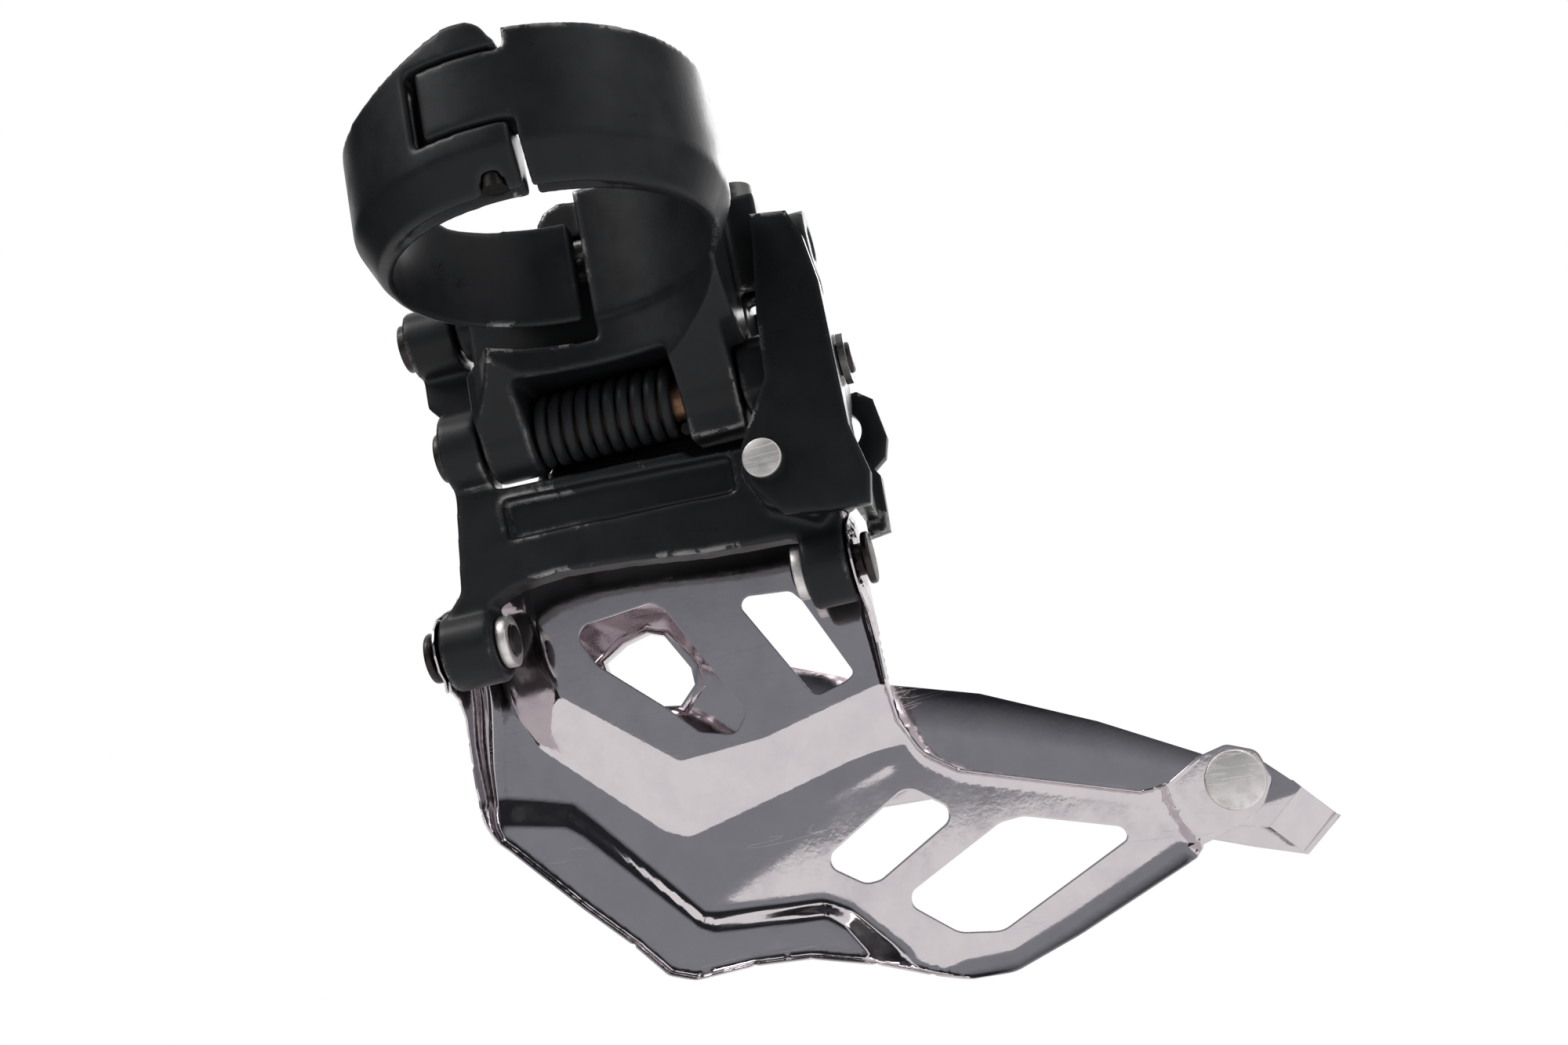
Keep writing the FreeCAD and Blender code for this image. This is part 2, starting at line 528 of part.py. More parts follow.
def outer_link():
    piece = Piece("outer_link", OUTER_AXIS)
    front_in = "sleeve_front - side_gap"
    front_out = front_in + " - outer_arm"
    rear_in = "sleeve_rear + side_gap"
    rear_out = rear_in + " + outer_arm - 2"
    piece.slab("XZ", "outer_inner", "outer_outer", [[
        (front_out, "-0.6"), (front_out, "-8"), ("-23", "-14"), ("-half_link", "-20"),
        ("-half_link", "-link_drop"), ("half_link", "-link_drop"), ("half_link", "-20"), ("18", "-13"),
        (rear_out, "-8"), (rear_out, "-0.6"), (rear_in, "-0.6"), (rear_in, "-sleeve_radius - 2.6"),
        (front_in, "-sleeve_radius - 2.6"), (front_in, "-0.6")]])
    for low, high in ((front_out, front_in), (rear_in, rear_out)):
        piece.slab("YZ", low, high, [("circle", "0", "0", "sleeve_radius + 0.6")])
    piece.slab("YZ", "-half_link", "half_link", [("circle", "link_out", "-link_drop", "sleeve_radius")])
    piece.slab("YZ", front_out + " - 1", rear_out + " + 1",
               [("circle", "0", "0", "pin_radius + pin_fit")], cut=True)
    piece.slab("YZ", "-half_link - 1", "half_link + 1",
               [("circle", "link_out", "-link_drop", "lower_pin + open_fit")], cut=True)
    return piece


def pivot_pins():
    front = "sleeve_front - side_gap - outer_arm"
    rear = "sleeve_rear + side_gap + outer_arm - 2"
    turned("outer_pivot_pin", OUTER_AXIS, "YZ", [
        (front + " - 1.1", front + " - 0.1", "pin_head"),
        (front + " - 0.1", rear + " - 0.3", "pin_radius")])
    turned("inner_pivot_pin", INNER_AXIS, "YZ", [
        (FRONT_OUT + " - 1.3", FRONT_OUT + " - 0.1", "pin_head"),
        (FRONT_OUT + " - 0.1", "flange_x + lever_sheet + 1.5", "pin_radius")])
    turned("outer_link_cage_pin", ("0", CAGE_Y + " + frame_out", CAGE_Z + " + frame_rise"), "YZ", [
        ("-lug_x - sheet - 1", "-lug_x - sheet - 0.05", "lower_pin + 1"),
        ("-lug_x - sheet - 0.05", "lug_x + sheet + 0.05", "lower_pin"),
        ("lug_x + sheet + 0.05", "lug_x + sheet + 0.9", "lower_pin + 0.9")])
    turned("cage_pin_front", CAGE_AXIS, "YZ", [
        ("cage_front - 1", "cage_front - 0.05", "pin_head"),
        ("cage_front - 0.05", BOSS_FRONT + " + front_boss + collar + 0.5", "pin_radius")])
    turned("cage_pin_rear", CAGE_AXIS, "YZ", [
        (BOSS_REAR + " - rear_boss - collar - 0.5", "cage_rear + 0.05", "pin_radius"),
        ("cage_rear + 0.05", "cage_rear + 1", "pin_head")])


def ring(name, at, plane, low, high, outer, inner):
    piece = Piece(name, at)
    piece.slab(plane, low, high, [("circle", "0", "0", outer), ("circle", "0", "0", inner)])
    return piece


def collars_and_clip():
    snug = "pin_radius + 0.02"
    front = BOSS_FRONT + " + front_boss + 0.1"
    rear = BOSS_REAR + " - rear_boss - 0.1"
    ring("pin_collar_front", CAGE_AXIS, "YZ", front, front + " + collar", "pin_head + 0.1", snug)
    ring("pin_collar_rear", CAGE_AXIS, "YZ", rear + " - collar", rear, "pin_head + 0.1", snug)
    tip = "flange_x + lever_sheet"
    ring("inner_pin_clip", INNER_AXIS, "YZ", tip + " + 0.15", tip + " + 1", "pin_head", snug)
    ring("spring_sleeve", INNER_AXIS, "YZ", "window_front + 0.2", "window_rear - 0.2",
         "sleeve_wall + pin_radius + pin_fit", "pin_radius + pin_fit")


def return_spring():
    """Torsion spring coiled round the sleeve, one leg under the body, one on the link.

    The coil is half turns, each an arc, so that it stays light to facet.
    """
    wire = number("wire_radius")
    coil = number("pin_radius + pin_fit + sleeve_wall") + wire + 0.25
    start = number("window_front") + 2 * wire
    length = number("window_rear - window_front") - 4 * wire
    turns = int(number("spring_turns"))

    def on_coil(angle):
        return V(length * angle / (2 * math.pi * turns), coil * math.sin(angle), coil * math.cos(angle))

    edges = []
    for half in range(2 * turns):
        angles = [math.pi * (half + share) for share in (0, 0.5, 1)]
        edges.append(Part.Arc(*[on_coil(angle) for angle in angles]).toShape())
    lower_end = on_coil(0) - V(0, number("leg_radius - 1.2"), 0)
    upper_end = on_coil(2 * math.pi * turns) + V(0, number("leg_radius - 1.8"), 0)
    edges.insert(0, Part.LineSegment(lower_end, on_coil(0)).toShape())
    edges.append(Part.LineSegment(on_coil(2 * math.pi * turns), upper_end).toShape())
    section = Part.Face(Part.Wire(Part.makeCircle(wire, lower_end, Y_AXIS)))
    item = DOC.addObject("Part::Feature", "return_spring")
    item.Label = "return_spring"
    item.Shape = Part.Wire(edges).makePipe(section)
    item.Placement = FreeCAD.Placement(V(start, number("inner_y"), number("inner_z")), FreeCAD.Rotation())


# ---------------------------------------------------------------- screws

def screws_and_anchor():
    for name, place in zip(("limit_screw_low", "limit_screw_high"), SCREW_PLACES):
        piece = turned(name, (place, "screw_y", "screw_top"), "XY", [
            ("-10.2", "0.04", "screw_radius"), ("0.04", "screw_head", "screw_radius + 0.9")])
        for width, depth in (("1.5", "0.35"), ("0.35", "1.5")):
            piece.slab("XY", "screw_head - 1.1", "screw_head + 1",
                       [box("-" + width, "-" + depth, width, depth)], cut=True)
    seat = ANCHOR_FACE + " + lever_sheet"
    place = ("anchor_x", "inner_y", "inner_z + anchor_z")
    plate = Piece("cable_plate", place)
    plate.slab("XZ", seat + " + 0.05", seat + " + 1.6", [
        box("-3.6", "-3.4", "3.4", "3.6"), ("circle", "0", "0", "bolt_radius + pin_fit")])
    plate.slab("YZ", "-4", "4", [[
        (seat, "2.5"), (seat + " + 0.9", "3"), (seat, "3.5")]], cut=True)
    bolt = turned("cable_bolt", place, "XZ", [
        ("anchor_out - 3.7", seat + " + 1.65", "bolt_radius - thread_depth"),
        (seat + " + 1.65", seat + " + 5.2", "4.1")])
    corners = [("%.4f" % (2.3 * math.cos(math.radians(60 * i))),
                "%.4f" % (2.3 * math.sin(math.radians(60 * i)))) for i in range(6)]
    bolt.slab("XZ", seat + " + 3", seat + " + 6", [corners], cut=True)
    nut = Piece("cable_nut", place)
    corners = [("%.4f" % (4.2 * math.cos(math.radians(60 * i + 30))),
                "%.4f" % (4.2 * math.sin(math.radians(60 * i + 30)))) for i in range(6)]
    nut.slab("XZ", "anchor_out - 3.6", "anchor_out - 0.05", [
        corners, ("circle", "0", "0", "bolt_radius + pin_fit")])


# ---------------------------------------------------------------- cage

def sheet_outline():
    """The inner plate's outline, from its pivot: ears, front edge, foot, tail, rear edge."""
    return [
        ("cage_front", "plate_top"), ("cage_front", "-18.5"), ("cage_front + 0.8", "-24"),
        ("-20.7", "-33"), ("-10.5", "-42.9"), ("-6.8", "-44.1"), ("-0.8", "-43.1"), ("6.8", "-43.8"),
        ("14", "-46.2"), ("24.6", "-49.6"), ("30.2", "-50"), ("38.1", "-47.2"), ("52.6", "-41.6"),
        ("54", "-37.8"), ("51.4", "-33.4"), ("48.2", "-31.4"), ("29.1", "-25.7"),
        ("cage_rear + 0.8", "-21.3"), ("cage_rear", "-16"), ("cage_rear", "plate_top")]


def cage_inner_plate():
    piece = Piece("cage_inner_plate", CAGE_AXIS, refine=False)
    outline = sheet_outline()
    # Flat zone and front foot, up to the bend that starts the tail.
    piece.slab("XZ", "main_level", "main_level + sheet", [
        outline[:10] + [("11.5", "-38.8"), ("-2", "-36.2"), ("22.3", "-21.4"), ("cage_rear + 0.4", "-21.4")]
        + outline[18:]])
    # Tail, tilted outboard about that bend.
    tail = piece.sketch("XZ", "-main_level")
    draw_outline(tail, [("-2", "-36.2"), ("22.3", "-21.4"), ("cage_rear + 0.4", "-20.6")] + outline[17:8:-1]
                 + [("11.5", "-38.8")])
    bend = FreeCAD.Vector(24.3, 14.8, 0)
    pivot = V(22.3, -21.4, 0)
    turn = FreeCAD.Rotation(bend, 4)
    level = number("-main_level")
    tail.AttachmentOffset = FreeCAD.Placement(V(0, 0, level) + pivot - turn.multVec(pivot), turn)
    bind(tail, "AttachmentOffset.Base.z", "-main_level + %.5f" % (pivot - turn.multVec(pivot)).z)
    piece.extrude(tail, "sheet", False, flip=True)
    # Raised panel: pushed inboard from the flat zone, hollow behind.
    panel = [("-26", "18"), ("-25.5", "-4"), ("-22.4", "-12.4"), ("-6.2", "-25.8"), ("21", "-20.1"),
             ("32", "-17.9"), ("32", "18")]
    piece.slab("XZ", "panel_level", "main_level", [panel], taper="-panel_slope")
    piece.slab("XZ", "panel_level + sheet", "main_level + sheet", [panel], cut=True,
               taper="-panel_slope")
    # Foot: a shallow step outboard, with the wall sloped like the panel's.
    foot = [("-42", "-17.4"), ("-29.4", "-17.4"), ("-20.2", "-19.5"), ("-4.6", "-35.7"), ("-2", "-36.2"),
            ("11.2", "-38"), ("24.8", "-48"), ("29", "-58"), ("-42", "-58")]
    piece.slab("XZ", "main_level + sheet", "main_level + sheet + foot_drop", [foot],
               taper="-foot_slope", flip=True)
    piece.slab("XZ", "main_level", "main_level + foot_drop", [foot], cut=True, taper="-foot_slope", flip=True)
    # Trim to the outline.
    piece.slab("XZ", "-5", "main_level + 9", [
        box("-70", "-70", "80", "40"), outline], cut=True)
    # Rims: turned inboard round the foot and the rear edge, rolled outboard under the tail.
    piece.slab("XZ", "main_level - 0.4", "main_level + foot_drop + sheet", [
        outline[1:10] + [("24.8", "-48.4"), ("14.3", "-45"), ("7.1", "-42.6"), ("-0.7", "-41.9"),
                         ("-6.4", "-42.8"), ("-9.9", "-41.7"), ("-20", "-32"),
                         ("cage_front + 1.5", "-23.4"), ("cage_front + 1.1", "-18.5")]])
    piece.slab("XZ", "main_level - 2.2", "main_level + 1.6", [
        [("48.2", "-31.4"), ("29.1", "-25.7"), ("cage_rear + 0.8", "-21.3"), ("cage_rear", "-15"),
         ("cage_rear - 1.1", "-15"), ("cage_rear - 0.4", "-22"), ("28.5", "-26.8"), ("48", "-32.5")]])
    piece.slab("XZ", "main_level + 0.9", "main_level + 4", [
        [("23.4", "-49.2")] + outline[9:13]
        + [("51.8", "-39.7"), ("37.4", "-45.3"), ("29.9", "-48"), ("23.6", "-47.8")]])
    # Ears round the pivot. The front one runs on down the edge as a flange.
    upper = [("-boss_radius", "-0.6"), ("-boss_radius + 1", "3.3"), ("0.6", "boss_radius + 0.6"),
             ("panel_level", "plate_top"), ("main_level + sheet", "plate_top")]
    front_flange = [("main_level + sheet", "-22"), ("main_level - 0.8", "-22"), ("6", "-20.6"),
                    ("3", "-18.6"), ("2.7", "-15.4"), ("3.4", "-11.6"), ("2", "-7"),
                    ("-2.6", "-boss_radius + 0.4")]
    rear_flange = [("main_level + sheet", "-17"), ("main_level - 1.6", "-17"), ("main_level - 2", "-15"),
                   ("3.6", "-boss_radius - 0.8"), ("-2.6", "-boss_radius + 0.4")]
    for low, lower in (("cage_front", front_flange), ("cage_rear - sheet", rear_flange)):
        piece.slab("YZ", low, low + " + sheet", [upper + lower])
        piece.slab("YZ", low + " - 1", low + " + sheet + 1",
                   [("circle", "0", "0", "pin_radius + 0.02")], cut=True)
    # Windows of the panel and of the tail.
    windows = [
        [("-13.9", "1.3"), ("-3.8", "1.8"), ("-2.2", "0.8"), ("4.7", "-13.8"), ("3.4", "-15.8"),
         ("0.4", "-15"), ("-4", "-12.6"), ("-11.8", "-3.8")],
        [("7.2", "-1.2"), ("8", "-0.2"), ("13.3", "-0.7"), ("14.6", "-2"), ("18.8", "-11.9"),
         ("18", "-12.6"), ("14.5", "-13.3"), ("13.2", "-12.6")],
        [("22.1", "-26.7"), ("25.6", "-29"), ("25.8", "-30.3"), ("16.4", "-35"), ("14.4", "-35.5"),
         ("11.6", "-33.7"), ("11.5", "-32.6")],
        [("31", "-32.3"), ("34.2", "-32.2"), ("44.6", "-35.5"), ("45.3", "-37.1"), ("28.8", "-43.8"),
         ("24.2", "-43.3"), ("20.4", "-39.9"), ("20.3", "-38.6")]]
    for window in windows:
        piece.slab("XZ", "-2", "main_level + 9", [window], cut=True)
    # Tab for the tail rivet, one step inboard of the tail, and the roof rivets' holes.
    piece.slab("XZ", "tab_level", "tab_level + sheet", [
        [("51.6", "-32.4"), ("tail_x - 2.4", "tail_z + 3.8"), ("tail_x + 0.6", "tail_z + 4.4"),
         ("tail_x + 3.6", "tail_z + 2.4"), ("tail_x + 4.2", "tail_z - 0.8"),
         ("tail_x + 1.6", "tail_z - 4"), ("53.6", "-39.6")]])
    piece.slab("XZ", "tab_level", "main_level + 3.4", [
        [("51", "-33.8"), ("52.2", "-33.2"), ("54.2", "-37.8"), ("53.4", "-39.8"), ("52.6", "-39.2")]])
    piece.slab("XZ", "tab_level - 1", "tab_level + sheet + 1",
               [("circle", "tail_x", "tail_z", "rivet_radius + 0.02")], cut=True)
    return piece


def cage_outer_plate():
    piece = Piece("cage_outer_plate", CAGE_AXIS)
    face = "main_level + sheet + cage_width"
    end = [("71", "-38.9"), ("66.2", "-42.6")]
    piece.slab("XZ", face, face + " + sheet", [[
        ("cage_front + 1.4", "-20"), ("cage_front + 1.4", "-4"), ("-22", "roof_level + sheet"),
        ("1", "roof_level + sheet"), ("4.6", "-3.2"), ("9.1", "-6.8"), ("14.9", "-9.3"), ("21.6", "-12"),
        ("32.1", "-15.4"), ("45.6", "-21.9"), ("56.7", "-28.3")] + end
        + [("60.3", "-40.5"), ("47", "-35.2"), ("34", "-31.3"), ("23.8", "-27"), ("10", "-26.4"),
           ("-6", "-28"), ("-21", "-27.6")]])
    window = [("-15", "-0.8"), ("-11.9", "0.9"), ("-8.6", "1.7"), ("-6.4", "0.8"), ("-3.6", "-4.2"),
              ("-3.5", "-6.4"), ("-5.8", "-8.7"), ("-8.6", "-8.2"), ("-14.6", "-3.2")]
    rim = [("-16.2", "-0.6"), ("-12.4", "1.9"), ("-8.4", "2.9"), ("-5.6", "1.6"), ("-2.5", "-3.9"),
           ("-2.3", "-6.8"), ("-5.4", "-9.9"), ("-9.1", "-9.3"), ("-15.8", "-3.6")]
    piece.slab("XZ", face + " - 0.7", face, [rim])
    piece.slab("XZ", face + " - 2", face + " + sheet + 1", [window], cut=True)
    # Roof over the chain, its flange against the inner plate and the two lugs.
    back = "panel_level + sheet + 0.05"
    piece.slab("XY", "roof_level", "roof_level + sheet", [[
        ("-20.2", back), ("16", back), ("16", "14"), ("3.6", "17.6"), ("1", face + " + sheet"),
        ("-22", face + " + sheet"), ("-22", "9.8")]])
    piece.slab("XZ", back, back + " + sheet", [
        box("-20", "roof_level - 3", "3", "roof_level + sheet")])
    for low in ("-lug_x - sheet", "lug_x"):
        piece.slab("YZ", low, low + " + sheet", [
            [("frame_out - 3.4", "frame_rise"), (back, "plate_top + 0.3"), (back, "roof_level + 0.2"),
             ("16", "roof_level + 0.2"),
             ("frame_out + 3.4", "frame_rise + 0.6")]])
        piece.slab("YZ", low, low + " + sheet", [("circle", "frame_out", "frame_rise", "3.45")])
        piece.slab("YZ", low + " - 1", low + " + sheet + 1",
                   [("circle", "frame_out", "frame_rise", "lower_pin + 0.02")], cut=True)
    # Tail: bent inboard as a web, then a flange behind the inner plate's tab.
    flange = "tab_level + sheet + 0.05"
    piece.slab("XZ", flange, flange + " + sheet", [
        [("55", "-32.2"), ("tail_x - 1.2", "tail_z + 3.6"), ("tail_x + 2.2", "tail_z + 3"),
         ("66.4", "-35.2"), ("61.8", "-38.9"), ("56", "-37.6")]])
    near = piece.sketch("XZ", "-1 * (%s)" % flange)
    draw_outline(near, [("66.4", "-35.2"), ("61.8", "-38.9"), ("61", "-37.9"), ("65.6", "-34.2")])
    far = piece.sketch("XZ", "-1 * (%s + sheet)" % face)
    draw_outline(far, [("71", "-38.9"), ("66.2", "-42.6"), ("65.4", "-41.6"), ("70.2", "-37.9")])
    loft = piece.body.newObject("PartDesign::AdditiveLoft", "cage_outer_plate_web")
    loft.Profile = near
    loft.Sections = [far]
    loft.Ruled = True
    DOC.recompute()
    piece.slab("XZ", flange + " - 1", flange + " + sheet + 1",
               [("circle", "tail_x", "tail_z", "rivet_radius + 0.02")], cut=True)
    return piece


def cage_tail_rivet():
    place = ("tail_x", CAGE_Y, CAGE_Z + " + tail_z")
    seat = "tab_level"
    stack = seat + " + 2 * sheet + 0.05"
    turned("cage_tail_rivet", place, "XZ", [
        (seat + " - 0.7", seat + " - 0.02", "tail_head"), (seat + " - 0.02", stack + " + 0.02", "rivet_radius"),
        (stack + " + 0.02", stack + " + 0.7", "tail_head - 0.8")])


def build_all():
    fill_sheet()
    main_body()
    clamp_band()
    clamp_hinge_pin()
    clamp_bolt()
    clamp_bolt_washer()
    inner_link()
    lever_plate()
    lever_rivet()
    outer_link()
    pivot_pins()
    collars_and_clip()
    return_spring()
    screws_and_anchor()
    cage_inner_plate()
    cage_outer_plate()
    cage_tail_rivet()


def check_and_write():
    DOC.recompute()
    for item in DOC.Objects:
        for word in item.State:
            if word in ("Invalid", "Error"):
                raise RuntimeError("%s is %s" % (item.Name, word))
    os.makedirs("parts", exist_ok=True)
    for item in DOC.Objects:
        if item.TypeId not in ("PartDesign::Body", "Part::Feature"):
            continue
        shape = item.Shape
        if shape.isNull() or not shape.isValid():
            raise RuntimeError("%s has no valid shape" % item.Label)
        shape.exportStep(os.path.join("parts", item.Label + ".step"))
        print("%-22s solids %d volume %9.1f" % (item.Label, len(shape.Solids), shape.Volume))


build_all()
check_and_write()
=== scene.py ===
"""Looks of a bicycle front derailleur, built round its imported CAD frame.

Sizes are metres unless a name ends in _mm. The frame's origin is the centre of the clamp
bore: +Z runs up the seat tube, +X to the rear wheel and +Y out towards the chainrings.
"""

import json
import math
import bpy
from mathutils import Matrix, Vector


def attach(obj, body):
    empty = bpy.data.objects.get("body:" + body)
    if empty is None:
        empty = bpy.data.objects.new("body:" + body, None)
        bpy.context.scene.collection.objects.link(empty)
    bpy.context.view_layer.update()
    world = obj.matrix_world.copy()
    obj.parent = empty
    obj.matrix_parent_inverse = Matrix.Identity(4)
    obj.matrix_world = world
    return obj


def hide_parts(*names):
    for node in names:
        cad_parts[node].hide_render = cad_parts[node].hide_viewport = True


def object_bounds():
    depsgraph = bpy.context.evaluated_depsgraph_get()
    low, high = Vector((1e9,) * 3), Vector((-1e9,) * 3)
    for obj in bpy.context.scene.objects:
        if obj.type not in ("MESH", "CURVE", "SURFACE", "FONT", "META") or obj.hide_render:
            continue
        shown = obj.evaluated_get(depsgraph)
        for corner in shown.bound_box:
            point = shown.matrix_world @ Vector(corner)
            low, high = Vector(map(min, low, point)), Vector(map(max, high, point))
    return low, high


bl_info = {
    "name": "Front derailleur",
    "version": (1, 0, 0),
    "blender": (4, 5, 0),
    "location": "View3D > Sidebar > Derailleur",
    "description": "Cast links, pressed chrome cage, spring, hardware and stage of a front derailleur",
    "category": "Object",
}

import bmesh
import bpy
import numpy as np
from mathutils import Matrix, Vector, geometry

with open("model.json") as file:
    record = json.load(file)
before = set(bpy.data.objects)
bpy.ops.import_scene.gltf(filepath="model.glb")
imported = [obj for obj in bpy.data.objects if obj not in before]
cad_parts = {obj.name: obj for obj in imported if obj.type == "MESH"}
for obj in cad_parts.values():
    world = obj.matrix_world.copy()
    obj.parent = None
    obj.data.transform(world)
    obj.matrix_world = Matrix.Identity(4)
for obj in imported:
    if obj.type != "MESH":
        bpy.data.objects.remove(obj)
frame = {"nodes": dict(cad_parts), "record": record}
CAD_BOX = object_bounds()
MM = 0.001


def joint_place(name):
    """Where a joint's axis is at rest, in metres."""
    joint = [j for j in frame["record"]["behaviour"]["joints"] if j["name"] == name][0]
    return Vector(joint["pos_m"])


CAGE_PIVOT = joint_place("cage_pivot")
LINK_PIVOT = joint_place("inner_link_swing")


# ---------------------------------------------------------------- settings

def length(name, text, default):
    return bpy.props.FloatProperty(name=name, description=text, default=default, min=0.0, unit="LENGTH",
                                   subtype="DISTANCE", precision=5)


def share(name, text, default):
    return bpy.props.FloatProperty(name=name, description=text, default=default, min=0.0, max=1.0,
                                   subtype="FACTOR")


def colour(name, text, default):
    return bpy.props.FloatVectorProperty(name=name, description=text, default=default, size=3, min=0.0,
                                         max=1.0, subtype="COLOR")


class CastingSettings(bpy.types.PropertyGroup):
    grid: length("Grid", "Spacing of the mesh that rounds a casting", 0.00034)
    rounding: bpy.props.IntProperty(name="Rounding", description="Passes that soften a casting's edges",
                                    default=9, min=0, max=60)


class CageSettings(bpy.types.PropertyGroup):
    sheet: length("Sheet", "Thickness of the cage's sheet", 0.0012)
    grid: length("Grid", "Spacing of the pressed sheet's mesh", 0.0006)
    edge: length("Edge", "Rounding of the sheared edges", 0.00026)


class SpringSettings(bpy.types.PropertyGroup):
    wire: length("Wire", "Radius of the spring wire", 0.00074)
    radius: length("Radius", "From the coil's axis to the wire's middle", 0.00375)
    length: length("Length", "From the coil's first turn to its last", 0.0172)
    turns: bpy.props.FloatProperty(name="Turns", description="Turns of the coil", default=10.0, min=1.0)


class FinishSettings(bpy.types.PropertyGroup):
    paint: colour("Paint", "Satin coat of the castings", (0.0055, 0.006, 0.007))
    plate: colour("Plate", "Coat of the lever plate", (0.005, 0.0055, 0.0065))
    chrome: colour("Chrome", "Plating of the cage", (0.63, 0.585, 0.60))
    steel: colour("Steel", "Bolts, screws and clips", (0.20, 0.195, 0.19))
    rivet: colour("Rivet", "Turned rivets and collars", (0.80, 0.765, 0.75))
    pin: colour("Pin", "Oiled ends of the pins", (0.05, 0.044, 0.042))
    bronze: colour("Bronze", "Sleeve under the spring", (0.20, 0.11, 0.07))
    chips: share("Chips", "How much of the edges has lost its coat", 0.5)


class StageSettings(bpy.types.PropertyGroup):
    drop: length("Drop", "Distance from the object's lowest point down to the floor", 0.04)
    floor: colour("Floor", "Tone of the floor under the object", (0.80, 0.80, 0.80))


# ---------------------------------------------------------------- node helpers

def add(tree, kind, **values):
    """A node with its properties, and its inputs by name or number."""
    made = tree.nodes.new(kind)
    for key, value in values.items():
        if key == "inputs":
            for name, content in value.items():
                if isinstance(content, bpy.types.NodeSocket):
                    tree.links.new(content, made.inputs[name])
                else:
                    made.inputs[name].default_value = content
        else:
            setattr(made, key, value)
    return made


def maths(tree, operation, first, second=0.0, third=None, clamp=False):
    inputs = {0: first, 1: second}
    if third is not None:
        inputs[2] = third
    return add(tree, "ShaderNodeMath", operation=operation, use_clamp=clamp, inputs=inputs).outputs[0]


def remap(tree, value, low, high, new_low=0.0, new_high=1.0):
    return add(tree, "ShaderNodeMapRange", inputs={
        "Value": value, "From Min": low, "From Max": high, "To Min": new_low, "To Max": new_high}).outputs[0]


def blend_colour(tree, factor, first, second):
    made = add(tree, "ShaderNodeMix", data_type="RGBA", inputs={0: factor})
    for socket, content in ((made.inputs[6], first), (made.inputs[7], second)):
        if isinstance(content, bpy.types.NodeSocket):
            tree.links.new(content, socket)
        else:
            socket.default_value = (*content, 1.0)
    return made.outputs[2]


def shader_group(name, inputs, outputs):
    """An empty shader group with float inputs (name, default) and float outputs."""
    group = bpy.data.node_groups.new(name, "ShaderNodeTree")
    for label, default in inputs:
        socket = group.interface.new_socket(label, in_out="INPUT", socket_type="NodeSocketFloat")
        socket.default_value = default
    for label in outputs:
        group.interface.new_socket(label, in_out="OUTPUT", socket_type="NodeSocketFloat")
    source = group.nodes.new("NodeGroupInput")
    sink = group.nodes.new("NodeGroupOutput")
    return group, source.outputs, sink.inputs


def object_place(tree):
    return add(tree, "ShaderNodeTexCoord").outputs["Object"]


def edge_wear_group():
    """Where a coat has chipped from edges: Reach from the edge, Amount lost, Breakup of the chips."""
    group, given, result = shader_group("edge_wear", [("Reach", 0.0004), ("Amount", 0.5), ("Breakup", 900.0)],
                                        ["Mask", "Rub"])
    rounded = add(group, "ShaderNodeBevel", samples=4, inputs={"Radius": given["Reach"]})
    flat = add(group, "ShaderNodeNewGeometry")
    turn = add(group, "ShaderNodeVectorMath", operation="DOT_PRODUCT",
               inputs={0: rounded.outputs[0], 1: flat.outputs["Normal"]})
    edge = remap(group, maths(group, "SUBTRACT", 1.0, turn.outputs["Value"]), 0.01, 0.09)
    place = object_place(group)
    chips = add(group, "ShaderNodeTexNoise", inputs={"Vector": place, "Scale": given["Breakup"], "Detail": 5.0,
                                                     "Roughness": 0.7})
    zones = add(group, "ShaderNodeTexNoise", inputs={"Vector": place, "Scale": 95.0, "Detail": 2.0})
    level = maths(group, "MULTIPLY", maths(group, "MULTIPLY", edge, chips.outputs[0]),
                  remap(group, zones.outputs[0], 0.38, 0.62))
    limit = maths(group, "SUBTRACT", 0.64, maths(group, "MULTIPLY", given["Amount"], 0.5))
    step = maths(group, "SUBTRACT", level, limit)
    group.links.new(remap(group, step, 0.0, 0.03), result["Mask"])
    group.links.new(edge, result["Rub"])
    return group


def surface_grain_group():
    """Fine height and patchy variation of a coated or polished face."""
    group, given, result = shader_group("surface_grain", [("Fine", 2600.0), ("Broad", 160.0)],
                                        ["Height", "Patches"])
    place = object_place(group)
    fine = add(group, "ShaderNodeTexNoise", inputs={"Vector": place, "Scale": given["Fine"], "Detail": 3.0})
    broad = add(group, "ShaderNodeTexNoise", inputs={"Vector": place, "Scale": given["Broad"], "Detail": 4.0,
                                                     "Roughness": 0.62})
    group.links.new(fine.outputs[0], result["Height"])
    group.links.new(broad.outputs[0], result["Patches"])
    return group


